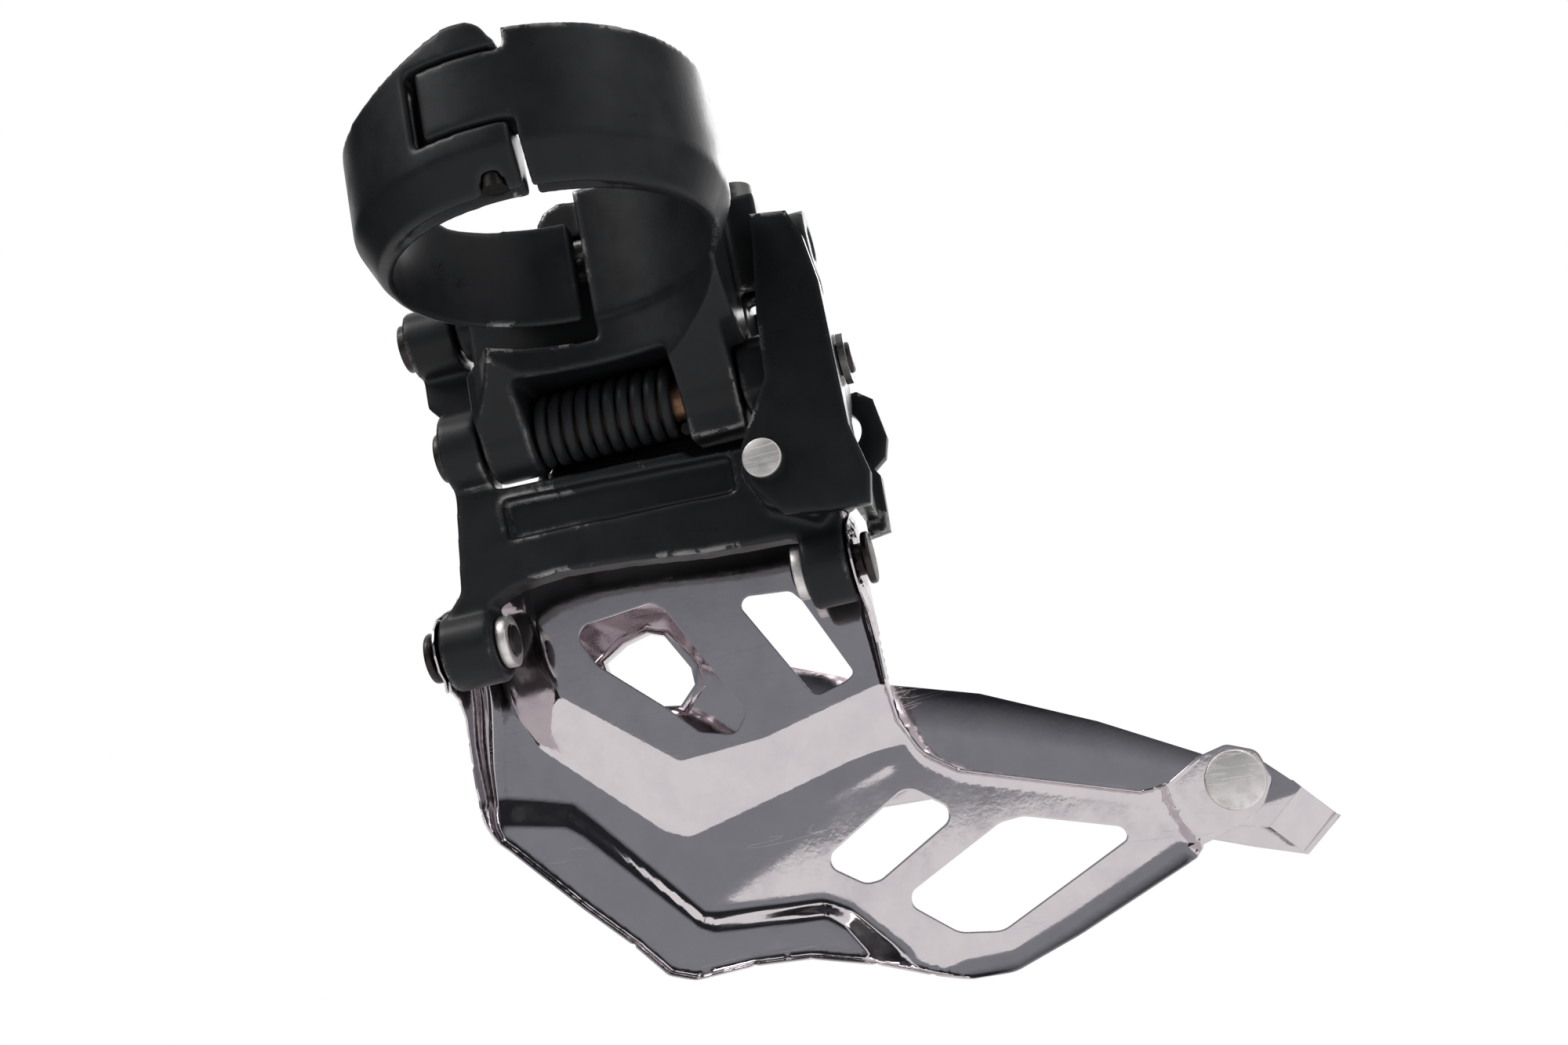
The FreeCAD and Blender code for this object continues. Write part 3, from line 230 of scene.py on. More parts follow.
def scratches_group():
    """Thin rubbed lines in two directions."""
    group, given, result = shader_group("scratches", [("Scale", 420.0), ("Width", 0.012), ("Share", 0.5)],
                                        ["Mask"])
    place = object_place(group)
    lines = []
    for turn, stretch in ((0.5, 0.10), (-0.9, 0.13), (1.35, 0.09)):
        mapping = add(group, "ShaderNodeMapping", inputs={
            "Vector": place, "Rotation": (0.0, turn, 0.0), "Scale": (stretch, 1.0, 1.0)})
        grain = add(group, "ShaderNodeTexNoise", inputs={
            "Vector": mapping.outputs[0], "Scale": given["Scale"], "Detail": 1.0})
        off = maths(group, "ABSOLUTE", maths(group, "SUBTRACT", grain.outputs[0], 0.5))
        line = maths(group, "LESS_THAN", off, given["Width"])
        zones = add(group, "ShaderNodeTexNoise", inputs={
            "Vector": mapping.outputs[0], "Scale": 210.0 + 60.0 * turn, "Detail": 1.0})
        shown = maths(group, "LESS_THAN", zones.outputs[0], maths(group, "MULTIPLY", given["Share"], 0.85))
        lines.append(maths(group, "MULTIPLY", line, shown))
    both = maths(group, "MAXIMUM", lines[0], lines[1])
    group.links.new(maths(group, "MAXIMUM", both, lines[2]), result["Mask"])
    return group


GROUPS = {}


def effect(tree, name, **values):
    if name not in GROUPS:
        GROUPS[name] = {"edge_wear": edge_wear_group, "surface_grain": surface_grain_group,
                        "scratches": scratches_group}[name]()
    made = tree.nodes.new("ShaderNodeGroup")
    made.node_tree = GROUPS[name]
    for key, value in values.items():
        made.inputs[key].default_value = value
    return made.outputs


def new_material(name):
    made = bpy.data.materials.get(name) or bpy.data.materials.new(name)
    made.use_nodes = True
    made.node_tree.nodes.clear()
    tree = made.node_tree
    shader = add(tree, "ShaderNodeBsdfPrincipled")
    sink = add(tree, "ShaderNodeOutputMaterial")
    tree.links.new(shader.outputs[0], sink.inputs["Surface"])
    return made, tree, shader


def set_bump(tree, shader, height, distance, strength=1.0):
    bump = add(tree, "ShaderNodeBump", inputs={"Height": height, "Distance": distance, "Strength": strength})
    tree.links.new(bump.outputs[0], shader.inputs["Normal"])


def coated_metal(name, coat, chips, roughness):
    """Dark satin coat over bright alloy, chipped along its edges and rubbed in patches."""
    made, tree, shader = new_material(name)
    wear = effect(tree, "edge_wear", Reach=0.0011, Amount=chips)
    grain = effect(tree, "surface_grain", Fine=2100.0, Broad=190.0)
    marks = effect(tree, "scratches", Scale=520.0, Width=0.010, Share=0.38)
    rubbed = tuple(min(1.0, 1.9 * part + 0.006) for part in coat)
    base = blend_colour(tree, remap(tree, grain["Patches"], 0.35, 0.75), coat,
                        tuple(1.35 * part for part in coat))
    base = blend_colour(tree, maths(tree, "MULTIPLY", wear["Rub"], 0.8), base, rubbed)
    base = blend_colour(tree, wear["Mask"], base, (0.62, 0.61, 0.60))
    tree.links.new(base, shader.inputs["Base Color"])
    tree.links.new(wear["Mask"], shader.inputs["Metallic"])
    rough = remap(tree, grain["Patches"], 0.3, 0.75, roughness - 0.05, roughness + 0.08)
    rough = maths(tree, "SUBTRACT", rough, maths(tree, "MULTIPLY", marks["Mask"], 0.10))
    tree.links.new(rough, shader.inputs["Roughness"])
    depth = maths(tree, "SUBTRACT", grain["Height"], maths(tree, "MULTIPLY", wear["Mask"], 1.2))
    set_bump(tree, shader, depth, 0.000012)
    shader.inputs["Specular IOR Level"].default_value = 0.19
    return made


def chrome_plate(name, plating):
    """Bright chrome on pressed steel: faintly rippled, scratched, with coarse sheared edges."""
    made, tree, shader = new_material(name)
    grain = effect(tree, "surface_grain", Fine=1500.0, Broad=230.0)
    marks = effect(tree, "scratches", Scale=900.0, Width=0.007, Share=0.40)
    wear = effect(tree, "edge_wear", Reach=0.00030, Amount=0.6, Breakup=1500.0)
    shader.inputs["Metallic"].default_value = 1.0
    base = blend_colour(tree, remap(tree, grain["Patches"], 0.42, 0.68), plating,
                        (plating[0] * 0.93, plating[1] * 0.92, plating[2] * 0.95))
    base = blend_colour(tree, maths(tree, "MULTIPLY", wear["Mask"], 0.5), base, (0.30, 0.27, 0.26))
    tree.links.new(base, shader.inputs["Base Color"])
    rough = remap(tree, grain["Patches"], 0.35, 0.72, 0.055, 0.13)
    rough = maths(tree, "ADD", rough, maths(tree, "MULTIPLY", marks["Mask"], 0.06))
    rough = maths(tree, "ADD", rough, maths(tree, "MULTIPLY", wear["Rub"], 0.10))
    tree.links.new(rough, shader.inputs["Roughness"])
    depth = maths(tree, "ADD", maths(tree, "MULTIPLY", grain["Patches"], 3.5), grain["Height"])
    depth = maths(tree, "SUBTRACT", depth, maths(tree, "MULTIPLY", marks["Mask"], 0.35))
    set_bump(tree, shader, depth, 0.0000035)
    return made


def turned_metal(name, tone, roughness, dark=0.35):
    """Bare turned steel: patchy stain and fine marks."""
    made, tree, shader = new_material(name)
    grain = effect(tree, "surface_grain", Fine=3400.0, Broad=420.0)
    marks = effect(tree, "scratches", Scale=900.0, Width=0.016, Share=0.6)
    shader.inputs["Metallic"].default_value = 1.0
    stain = remap(tree, grain["Patches"], 0.45, 0.75)
    base = blend_colour(tree, stain, tone, tuple(part * (1.0 - dark) for part in tone))
    tree.links.new(base, shader.inputs["Base Color"])
    rough = remap(tree, grain["Patches"], 0.3, 0.7, roughness - 0.06, roughness + 0.12)
    tree.links.new(maths(tree, "ADD", rough, maths(tree, "MULTIPLY", marks["Mask"], 0.1)),
                   shader.inputs["Roughness"])
    depth = maths(tree, "SUBTRACT", grain["Height"], maths(tree, "MULTIPLY", marks["Mask"], 0.7))
    set_bump(tree, shader, depth, 0.000009)
    return made


# ---------------------------------------------------------------- mesh helpers

def new_piece(name, mesh, body, finish):
    """Shows a mesh as a piece of the object, riding on a body."""
    piece = bpy.data.objects.new(name, mesh)
    bpy.context.scene.collection.objects.link(piece)
    mesh.materials.clear()
    mesh.materials.append(bpy.data.materials[finish])
    for face in mesh.polygons:
        face.material_index = 0
    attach(piece, body)
    return piece


def settled(name, mesh, modifiers):
    """The mesh after its modifiers, as plain data."""
    holder = bpy.data.objects.new(name, mesh)
    bpy.context.scene.collection.objects.link(holder)
    for kind, values in modifiers:
        modifier = holder.modifiers.new(kind.lower(), kind)
        for key, value in values.items():
            setattr(modifier, key, value)
    graph = bpy.context.evaluated_depsgraph_get()
    made = bpy.data.meshes.new_from_object(holder.evaluated_get(graph))
    bpy.data.objects.remove(holder)
    return made


def merged_copy(node):
    """A CAD node's mesh with its corners joined."""
    source = frame["nodes"][node].data.copy()
    work = bmesh.new()
    work.from_mesh(source)
    bmesh.ops.remove_doubles(work, verts=work.verts, dist=0.000002)
    work.to_mesh(source)
    work.free()
    return source


def smooth_shaded(mesh, angle):
    mesh.shade_smooth()
    mesh.set_sharp_from_angle(angle=math.radians(angle))
    return mesh


def add_prism(mesh, outline, low, high):
    """Adds an upright prism: an outline seen from above and its two levels, in millimetres."""
    work = bmesh.new()
    work.from_mesh(mesh)
    lower = [work.verts.new((x * MM, y * MM, low * MM)) for x, y in outline]
    upper = [work.verts.new((x * MM, y * MM, high * MM)) for x, y in outline]
    work.faces.new(lower[::-1])
    work.faces.new(upper)
    for here in range(len(outline)):
        after = (here + 1) % len(outline)
        work.faces.new((lower[here], lower[after], upper[after], upper[here]))
    work.to_mesh(mesh)
    work.free()


PIN_RADIUS = 0.0019
OUTER_OFFSET = joint_place("outer_link_swing") - LINK_PIVOT


def clear_bore(mesh, centre, radius, play=0.00012, depth=0.0005):
    """Moves the wall of a bore along X, which smoothing drew in, out to a radius and some play."""
    for vertex in mesh.vertices:
        off = Vector((0.0, vertex.co.y - centre.y, vertex.co.z - centre.z))
        if radius - depth < off.length < radius + play:
            vertex.co += off.normalized() * (radius + play - off.length)


# Web that closes the bore's side of the slot before the hinge tongue.
SLOT_WEB_LEVELS = (-3.6, 5.2)
SLOT_WEB = [(-7.4, -15.82), (-7.4, -17.9), (-5.95, -18.1), (-5.95, -16.4)]


def rounded_casting(node, settings):
    """A casting with soft edges and small fillets in its corners."""
    mesh = merged_copy(node)
    if node == "clamp_band":
        add_prism(mesh, SLOT_WEB, *SLOT_WEB_LEVELS)
    made = settled(node + "_cast", mesh, [
        ("REMESH", {"mode": "VOXEL", "voxel_size": settings.grid}),
        ("SMOOTH", {"factor": 0.5, "iterations": settings.rounding})])
    # Both bores take the upper pin's radius, so the lower one is wider than its own pin needs.
    if node == "outer_link":
        clear_bore(made, joint_place("outer_link_swing"), PIN_RADIUS)
        clear_bore(made, CAGE_PIVOT + OUTER_OFFSET, PIN_RADIUS)
    return made


def eased_copy(node, width):
    """A copy of a CAD node with its edges rounded by a small width."""
    source = merged_copy(node)
    work = bmesh.new()
    work.from_mesh(source)
    bmesh.ops.dissolve_limit(work, angle_limit=math.radians(0.4), verts=work.verts, edges=work.edges)
    work.to_mesh(source)
    work.free()
    return settled(node + "_eased", source, [
        ("BEVEL", {"width": width, "segments": 2, "limit_method": "ANGLE", "angle_limit": math.radians(38),
                   "use_clamp_overlap": True}), ("TRIANGULATE", {})])


# ---------------------------------------------------------------- pressed sheet

def fillet(points, radii, step):
    """A closed outline with each corner rounded; every point keeps its extra columns."""
    rows = np.array(points, dtype=float)
    made = []
    for here, row in enumerate(rows):
        before, after = rows[here - 1], rows[(here + 1) % len(rows)]
        back, ahead = before[:2] - row[:2], after[:2] - row[:2]
        long_back, long_ahead = np.hypot(*back), np.hypot(*ahead)
        back, ahead = back / long_back, ahead / long_ahead
        angle = math.acos(max(-1.0, min(1.0, float(back @ ahead))))
        radius = radii[here] if isinstance(radii, (list, tuple)) else radii
        if math.pi - angle < 0.05 or radius == 0.0:
            made.append(row)
            continue
        cut = min(radius / math.tan(angle / 2), 0.45 * long_back, 0.45 * long_ahead)
        reach = cut * math.tan(angle / 2)
        centre = row[:2] + (back + ahead) / np.hypot(*(back + ahead)) * reach / math.sin(angle / 2)
        start, end = row[:2] + back * cut, row[:2] + ahead * cut
        first = math.atan2(*(start - centre)[::-1])
        sweep = math.atan2(*(end - centre)[::-1]) - first
        sweep = (sweep + math.pi) % (2 * math.pi) - math.pi
        count = max(2, int(abs(sweep) * reach / step) + 1)
        for share_done in np.linspace(0.0, 1.0, count + 1):
            turn = first + sweep * share_done
            place = centre + reach * np.array([math.cos(turn), math.sin(turn)])
            if share_done < 0.5:
                extra = row[2:] + (before[2:] - row[2:]) * (cut / long_back) * (1 - 2 * share_done)
            else:
                extra = row[2:] + (after[2:] - row[2:]) * (cut / long_ahead) * (2 * share_done - 1)
            made.append(np.concatenate([place, extra]))
    return np.array(made)


def divided(rows, step):
    """A closed outline with points no further apart than the step."""
    made = []
    for here, row in enumerate(rows):
        ahead = rows[(here + 1) % len(rows)]
        count = max(1, int(np.hypot(*(ahead - row)[:2]) / step))
        made.extend(row + (ahead - row) * part / count for part in range(count))
    return np.array(made)


def nearest(places, loop):
    """For each place, its distance to a closed outline and the nearest point of it, with its columns."""
    run = np.roll(loop, -1, axis=0) - loop
    length_squared = np.maximum((run[:, :2] ** 2).sum(axis=1), 1e-12)
    best = np.full(len(places), 1e9)
    point = np.zeros((len(places), loop.shape[1]))
    for here in range(len(loop)):
        off = places - loop[here, :2]
        part = np.clip((off @ run[here, :2]) / length_squared[here], 0.0, 1.0)
        found = loop[here] + part[:, None] * run[here]
        gap = np.hypot(*(places - found[:, :2]).T)
        closer = gap < best
        best[closer] = gap[closer]
        point[closer] = found[closer]
    return best, point


def inside(places, loop):
    """True for the places within a closed outline."""
    result = np.zeros(len(places), dtype=bool)
    x, z = places[:, 0], places[:, 1]
    for here in range(len(loop)):
        (ax, az), (bx, bz) = loop[here, :2], loop[(here + 1) % len(loop), :2]
        if az == bz:
            continue
        crosses = ((az > z) != (bz > z)) & (x < ax + (z - az) * (bx - ax) / (bz - az))
        result ^= crosses
    return result


def depth_in(places, loop):
    """Distance within an outline, negative outside it."""
    gap = nearest(places, loop)[0]
    return np.where(inside(places, loop), gap, -gap)


def ramp(value, blend):
    """0 to 1, straight but for softened ends."""
    value = np.clip(value, -blend, 1 + blend)
    low = (value + blend) ** 2 / (4 * blend)
    high = 1 - (1 + blend - value) ** 2 / (4 * blend)
    return np.where(value < blend, low, np.where(value > 1 - blend, high, value))


def wall_between(places, foot, top, blend=0.1):
    """0 outside the foot outline, 1 inside the top outline, and a straight wall from one to the other."""
    from_foot = depth_in(places, foot)
    to_top = -depth_in(places, top)
    outer = np.maximum(from_foot, 0.0)
    value = np.where(to_top <= 0, 1.0 - to_top * 0.2, outer / np.maximum(outer + to_top, 1e-6))
    value = np.where(from_foot < 0, from_foot * 0.2, value)
    return ramp(value, blend)


def sheet_mesh(name, blank, holes, grid, shape):
    """A sheet cut to a blank with holes, then shaped: shape(places) gives x, y and z in millimetres.

    Rows of points follow each outline, so that folds along an edge have even faces. A staggered
    grid fills the rest.
    """
    loops = [divided(np.array(loop)[:, :2], 0.45 * grid) for loop in [blank] + holes]
    low, high = loops[0].min(axis=0), loops[0].max(axis=0)
    across = np.arange(low[0], high[0], grid)
    upward = np.arange(low[1], high[1], grid * 0.866)
    field = np.array([(x + 0.5 * grid * (row % 2), z) for row, z in enumerate(upward) for x in across])
    field = field[inside(field, loops[0])]
    for loop in loops[1:]:
        field = field[~inside(field, loop)]
    for loop in loops:
        field = field[nearest(field, loop)[0] > 1.75 * grid]
    rows = []
    for number, loop in enumerate(loops):
        along = np.roll(loop, -1, axis=0) - np.roll(loop, 1, axis=0)
        along /= np.hypot(*along.T)[:, None]
        side = np.stack([-along[:, 1], along[:, 0]], axis=1)
        twist = 0.5 * (loop[:, 0] * np.roll(loop[:, 1], -1) - np.roll(loop[:, 0], -1) * loop[:, 1]).sum()
        side *= math.copysign(1.0, twist) * (1 if number == 0 else -1)
        for offset, every in ((0.4, 1), (0.85, 1), (1.35, 2)):
            row = (loop + side * offset * grid)[::every]
            clear = inside(row, loops[0])
            for other in loops[1:]:
                clear &= ~inside(row, other)
            for other in loops:
                clear &= nearest(row, other)[0] > 0.95 * offset * grid
            rows.append(row[clear])
    points = [Vector(p) for loop in loops for p in loop]
    edges = []
    start = 0
    for loop in loops:
        edges += [(start + k, start + (k + 1) % len(loop)) for k in range(len(loop))]
        start += len(loop)
    points += [Vector(p) for row in rows for p in row] + [Vector(p) for p in field]
    found = geometry.delaunay_2d_cdt(points, edges, [], 1, 0.0005)
    places = np.array([tuple(p) for p in found[0]])
    faces = np.array(found[2])
    centres = places[faces].mean(axis=1)
    keep = inside(centres, loops[0])
    for loop in loops[1:]:
        keep &= ~inside(centres, loop)
    faces = faces[keep]
    a, b, c = (places[faces[:, k]] for k in range(3))
    turned = ((b - a)[:, 0] * (c - a)[:, 1] - (b - a)[:, 1] * (c - a)[:, 0]) < 0
    faces[turned] = faces[turned][:, ::-1]
    mesh = bpy.data.meshes.new(name)
    mesh.from_pydata((shape(places) * MM).tolist(), [], faces.tolist())
    work = bmesh.new()
    work.from_mesh(mesh)
    bmesh.ops.delete(work, geom=[v for v in work.verts if not v.link_faces], context="VERTS")
    work.to_mesh(mesh)
    work.free()
    return mesh


# ---------------------------------------------------------------- inner plate

# Levels of the inner plate's visible face outboard of the cage pivot, its holes and the folds
# of its ears, in millimetres.
MAIN_LEVEL = 10.4
PANEL_LEVEL = 6.4
FOOT_RISE = 1.2
TAB_LEVEL = 10.3
PIVOT_HOLE = 1.95
FRONT_EAR, REAR_EAR, EAR_FOLD = -28.0, 22.6, 2.0

# Steps between the points of rounded corners and of the whole outline, in millimetres.
ARC_STEP, EDGE_STEP = 0.3, 0.4

# Its outline along the fold of the edge, in millimetres from the cage pivot:
# rearward, upward, radius of the fold, reach of the turned edge past the fold.
PLATE_EDGE = [
    (-28.0, 6.9, 2.0, 2.0), (-28.0, 5.5, 2.0, 7.6), (-28.0, 4.2, 2.0, 10.6), (-28.0, 2.6, 2.0, 12.3),
    (-28.0, 0.8, 2.0, 13.1), (-28.0, -0.8, 2.0, 13.1), (-28.0, -2.6, 2.0, 12.3), (-28.0, -4.2, 2.0, 10.2),
    (-28.1, -5.6, 2.0, 6.6), (-28.3, -7.4, 2.0, 4.7), (-28.6, -10.0, 1.9, 4.0), (-28.8, -13.0, 1.5, 3.9),
    (-28.8, -16.0, 1.2, 4.1), (-28.8, -18.6, 1.0, 3.4), (-28.6, -20.6, 0.9, 2.2), (-28.0, -22.4, 0.8, 1.0),
    (-26.4, -24.0, 0.8, 0.7), (-18.8, -32.2, 0.8, 0.6), (-13.4, -37.6, 0.8, 0.6), (-9.8, -41.8, 0.8, 0.6),
    (-6.8, -42.9, 0.8, 0.6), (0.4, -42.6, 0.8, 0.6), (7.2, -43.1, 0.8, 0.6), (14.6, -45.2, 0.8, 0.5),
    (20.4, -47.6, 0.5, 0.1), (24.8, -49.0, 0.1, 0.0), (29.8, -49.2, 0.0, 0.0), (38.1, -46.5, 0.0, 0.0),
    (53.2, -40.6, 0.0, 0.0), (54.0, -39.4, 0.0, 0.0), (57.6, -38.4, 0.0, 0.0), (61.6, -36.6, 0.0, 0.0),
    (63.4, -33.6, 0.0, 0.0), (62.5, -30.2, 0.0, 0.0), (59.2, -28.8, 0.0, 0.0), (56.0, -29.5, 0.0, 0.0),
    (51.6, -32.0, 0.1, 0.0), (48.6, -32.2, 0.8, 0.7), (36.6, -28.2, 0.8, 0.8), (28.6, -25.5, 0.8, 0.8),
    (24.6, -22.6, 0.8, 0.8), (22.8, -18.4, 0.9, 0.8), (22.6, -13.6, 1.2, 0.9), (22.6, -9.0, 1.6, 0.8),
    (22.6, -6.0, 2.0, 2.4), (22.6, -4.2, 2.0, 6.5), (22.6, -2.6, 2.0, 8.3), (22.6, -0.8, 2.0, 9.1),
    (22.6, 0.8, 2.0, 9.1), (22.6, 2.6, 2.0, 8.3), (22.6, 4.2, 2.0, 6.6), (22.6, 5.5, 2.0, 3.6),
    (22.4, 7.2, 1.4, 0.0), (17.0, 9.4, 0.1, 0.0), (-17.0, 9.6, 0.1, 0.0), (-25.0, 8.6, 1.0, 0.4)]
# Roundings of single corners of that outline, by their place in it, and of the others.
PLAIN_ROUNDING = 1.6
EDGE_ROUNDING = {26: 5.0, 28: 0.8, 29: 0.4, 35: 3.0, 36: 1.0, 40: 5.0}
# Zones that are pressed to another level, each as the outline where its wall starts and the one
# where it ends.
PANEL_FOOT = [(-25.6, 20.0), (-25.5, -1.0), (-23.8, -7.4), (-21.9, -11.6), (-8.0, -24.6), (-5.1, -25.9),
              (16.5, -20.9), (21.7, -20.3), (40.0, -20.0), (40.0, 20.0)]
PANEL_TOP = [(-19.2, 20.0), (-19.0, 3.7), (-18.4, -2.2), (-17.3, -6.9), (-3.7, -18.1), (6.8, -17.6),
             (21.1, -14.3), (40.0, -13.6), (40.0, 20.0)]
FOOT_TOP = [(-40.0, -16.4), (-28.9, -16.8), (-23.0, -18.4), (-18.6, -19.8), (-16.9, -21.7), (-4.7, -35.7),
            (9.5, -36.9), (12.4, -38.5), (18.2, -44.9), (24.0, -60.0), (-40.0, -60.0)]
FOOT_FACE = [(-40.0, -19.6), (-28.9, -20.1), (-20.0, -22.0), (-18.1, -23.4), (-5.8, -36.8), (-4.0, -37.9),
             (9.7, -38.9), (11.7, -40.6), (13.8, -44.4), (16.4, -60.0), (-40.0, -60.0)]
TAB_STEP = [(50.4, -31.6), (51.3, -35.6), (52.3, -38.2), (53.6, -40.4), (70.0, -46.0), (70.0, -20.0),
            (50.0, -20.0)]
TAB_TOP = [(51.6, -30.0), (52.1, -35.2), (53.0, -38.0), (54.3, -40.2), (70.0, -46.0), (70.0, -20.0),
           (51.0, -20.0)]
# Line from which the tail slopes outboard, softened on both sides.
TAIL_BEND = ((-6.0, -36.2), (20.6, -21.4))
TAIL_SOFTNESS = 1.4
TAIL_SLOPE = math.tan(math.radians(4.0))
TAIL_RIVET = (59.3, -33.0)
TAIL_HOLE = 1.65
# Small forms: the lip under the tail, the long dimple before it and the groove along the panel.
LIP = [(19.0, -47.4), (24.4, -46.6), (29.8, -46.6), (37.2, -44.0), (52.4, -38.0)]
GROOVE = [(-2.3, -19.2), (7.1, -18.7), (21.3, -15.4)]
GROOVE_DEPTH, GROOVE_REACH = 0.28, 0.8
BEAD = [(11.2, -25.0), (15.0, -23.8), (20.0, -22.6)]
BEAD_HEIGHT, BEAD_REACH = 0.055, 1.8
WINDOW_ROUNDINGS = (1.5, 1.3, 2.2, 3.2)
PLATE_WINDOWS = [
    [(-14.3, 1.1), (-3.7, 2.1), (-2.4, 0.9), (5.4, -13.6), (3.6, -16.0), (-0.8, -14.7), (-4.2, -11.0),
     (-11.9, -3.9)],
    [(7.0, -0.9), (7.8, 0.2), (13.4, -0.4), (14.6, -1.9), (19.1, -11.9), (17.8, -12.6), (13.9, -13.6)],
    [(21.9, -25.9), (26.2, -29.2), (26.0, -30.8), (16.6, -35.9), (14.8, -36.0), (11.2, -33.4),
     (11.3, -31.8)],
    [(31.8, -32.2), (34.6, -32.0), (45.6, -35.5), (46.0, -36.9), (29.4, -44.4), (24.4, -43.6),
     (19.6, -39.6), (19.8, -38.0)]]


def along_line(places, points):
    """Distance to an open line of points."""
    best = np.full(len(places), 1e9)
    for (ax, az), (bx, bz) in zip(points, points[1:]):
        run = np.array([bx - ax, bz - az])
        off = places - np.array([ax, az])
        part = np.clip(off @ run / (run @ run), 0.0, 1.0)
        best = np.minimum(best, np.hypot(*(off - part[:, None] * run).T))
    return best


def plate_level(places):
    """How far outboard of the cage pivot the inner plate's visible face lies, in millimetres."""
    level = np.full(len(places), MAIN_LEVEL)
    panel = wall_between(places, np.array(PANEL_FOOT), np.array(PANEL_TOP), 0.07)
    level -= panel * (MAIN_LEVEL - PANEL_LEVEL)
    foot = wall_between(places, np.array(FOOT_TOP), np.array(FOOT_FACE), 0.16)
    level -= foot * FOOT_RISE
    (ax, az), (bx, bz) = TAIL_BEND
    run = math.hypot(bx - ax, bz - az)
    past = ((places[:, 0] - ax) * (bz - az) - (places[:, 1] - az) * (bx - ax)) / run
    soft = TAIL_SOFTNESS
    tilt = np.where(past < -soft, 0.0, np.where(past > soft, past, (past + soft) ** 2 / (4 * soft)))
    level += TAIL_SLOPE * tilt * (1 - foot)
    tab = wall_between(places, np.array(TAB_STEP), np.array(TAB_TOP), 0.16)
    rivet_x, rivet_z = TAIL_RIVET
    at_rivet = ((rivet_x - ax) * (bz - az) - (rivet_z - az) * (bx - ax)) / run
    level -= tab * (MAIN_LEVEL + TAIL_SLOPE * at_rivet - TAB_LEVEL)
    level -= BEAD_HEIGHT * np.clip(1 - (along_line(places, BEAD) / BEAD_REACH) ** 2, 0.0, 1.0) ** 2
    level += GROOVE_DEPTH * np.clip(1 - (along_line(places, GROOVE) / GROOVE_REACH) ** 2, 0.0, 1.0) ** 2
    lip = np.array(LIP + [(60.0, -44.0), (60.0, -60.0), (20.0, -60.0)])
    beyond = np.clip(depth_in(places, lip), 0.0, 4.0)
    fade = np.clip((places[:, 0] - 17.0) / 7.0, 0.0, 1.0)
    level -= fade * (1 - tab) * (0.04 * beyond + 0.06 * beyond ** 2)
    return level


def inner_plate_shape(edge):
    """Folds the blank's places along the edge and gives them their level."""
    def shape(places):
        gap, found = nearest(places, edge)
        signed = np.where(inside(places, edge), -gap, gap)
        away = places - found[:, :2]
        size = np.maximum(np.hypot(*away.T), 1e-9)
        normal = away / size[:, None] * np.where(signed < 0, -1.0, 1.0)[:, None]
        radius = np.maximum(found[:, 2], 1e-6)
        past = signed + radius
        bent = past > 0
        turn = np.clip(past / radius, 0.0, math.pi / 2)
        straight = np.maximum(past - radius * math.pi / 2, 0.0)
        start = np.where(bent[:, None], found[:, :2] - normal * radius[:, None], places)
        level = plate_level(start)
        plan = np.where(bent[:, None], start + normal * (radius * np.sin(turn))[:, None], places)
        level = np.where(bent, level - radius * (1 - np.cos(turn)) - straight, level)
        made = np.stack([plan[:, 0], level, plan[:, 1]], axis=1)
        return made + np.array(CAGE_PIVOT) / MM
    return shape


def blank_of(edge):
    """The flat blank's outline: the fold's outline moved out by what the fold and turned edge take."""
    ahead = np.roll(edge, -1, axis=0)[:, :2] - np.roll(edge, 1, axis=0)[:, :2]
    ahead /= np.hypot(*ahead.T)[:, None]
    twist = 0.5 * (edge[:, 0] * np.roll(edge[:, 1], -1) - np.roll(edge[:, 0], -1) * edge[:, 1]).sum()
    outward = np.stack([ahead[:, 1], -ahead[:, 0]], axis=1) * math.copysign(1.0, twist)
    amount = edge[:, 2] * (math.pi / 2 - 1) + edge[:, 3]
    return edge[:, :2] + outward * amount[:, None]


def ring_points(x, z, radius, count=28):
    return [(x + radius * math.cos(2 * math.pi * k / count), z + radius * math.sin(2 * math.pi * k / count))
            for k in range(count)]


# ---------------------------------------------------------------- operators

class DERAILLEUR_OT_finishes(bpy.types.Operator):
    """Makes every finish and gives it to the CAD pieces that are shown as they are"""
    bl_idname = "derailleur.finishes"
    bl_label = "Finishes"

    def execute(self, context):
        tone = context.scene.derailleur_finish
        coated_metal("black_paint", tuple(tone.paint), tone.chips, 0.36)
        coated_metal("black_plate", tuple(tone.plate), 0.8 * tone.chips, 0.30)
        coated_metal("spring_black", tuple(tone.paint), 0.0, 0.42)
        chrome_plate("cage_chrome", tuple(tone.chrome))
        turned_metal("rivet_steel", tuple(tone.rivet), 0.42)
        turned_metal("bolt_steel", tuple(tone.steel), 0.34)
        turned_metal("pin_steel", tuple(tone.pin), 0.32, 0.5)
        turned_metal("bronze", tuple(tone.bronze), 0.38, 0.4)
        for row in frame["record"]["subparts"]:
            item = frame["nodes"][row["node"]]
            finish = bpy.data.materials[row["material_slot"]]
            item.data.materials.clear()
            item.data.materials.append(finish)
        return {"FINISHED"}


CASTINGS = (("main_body", "body"), ("clamp_band", "band"), ("inner_link", "inner_link"),
            ("outer_link", "outer_link"))


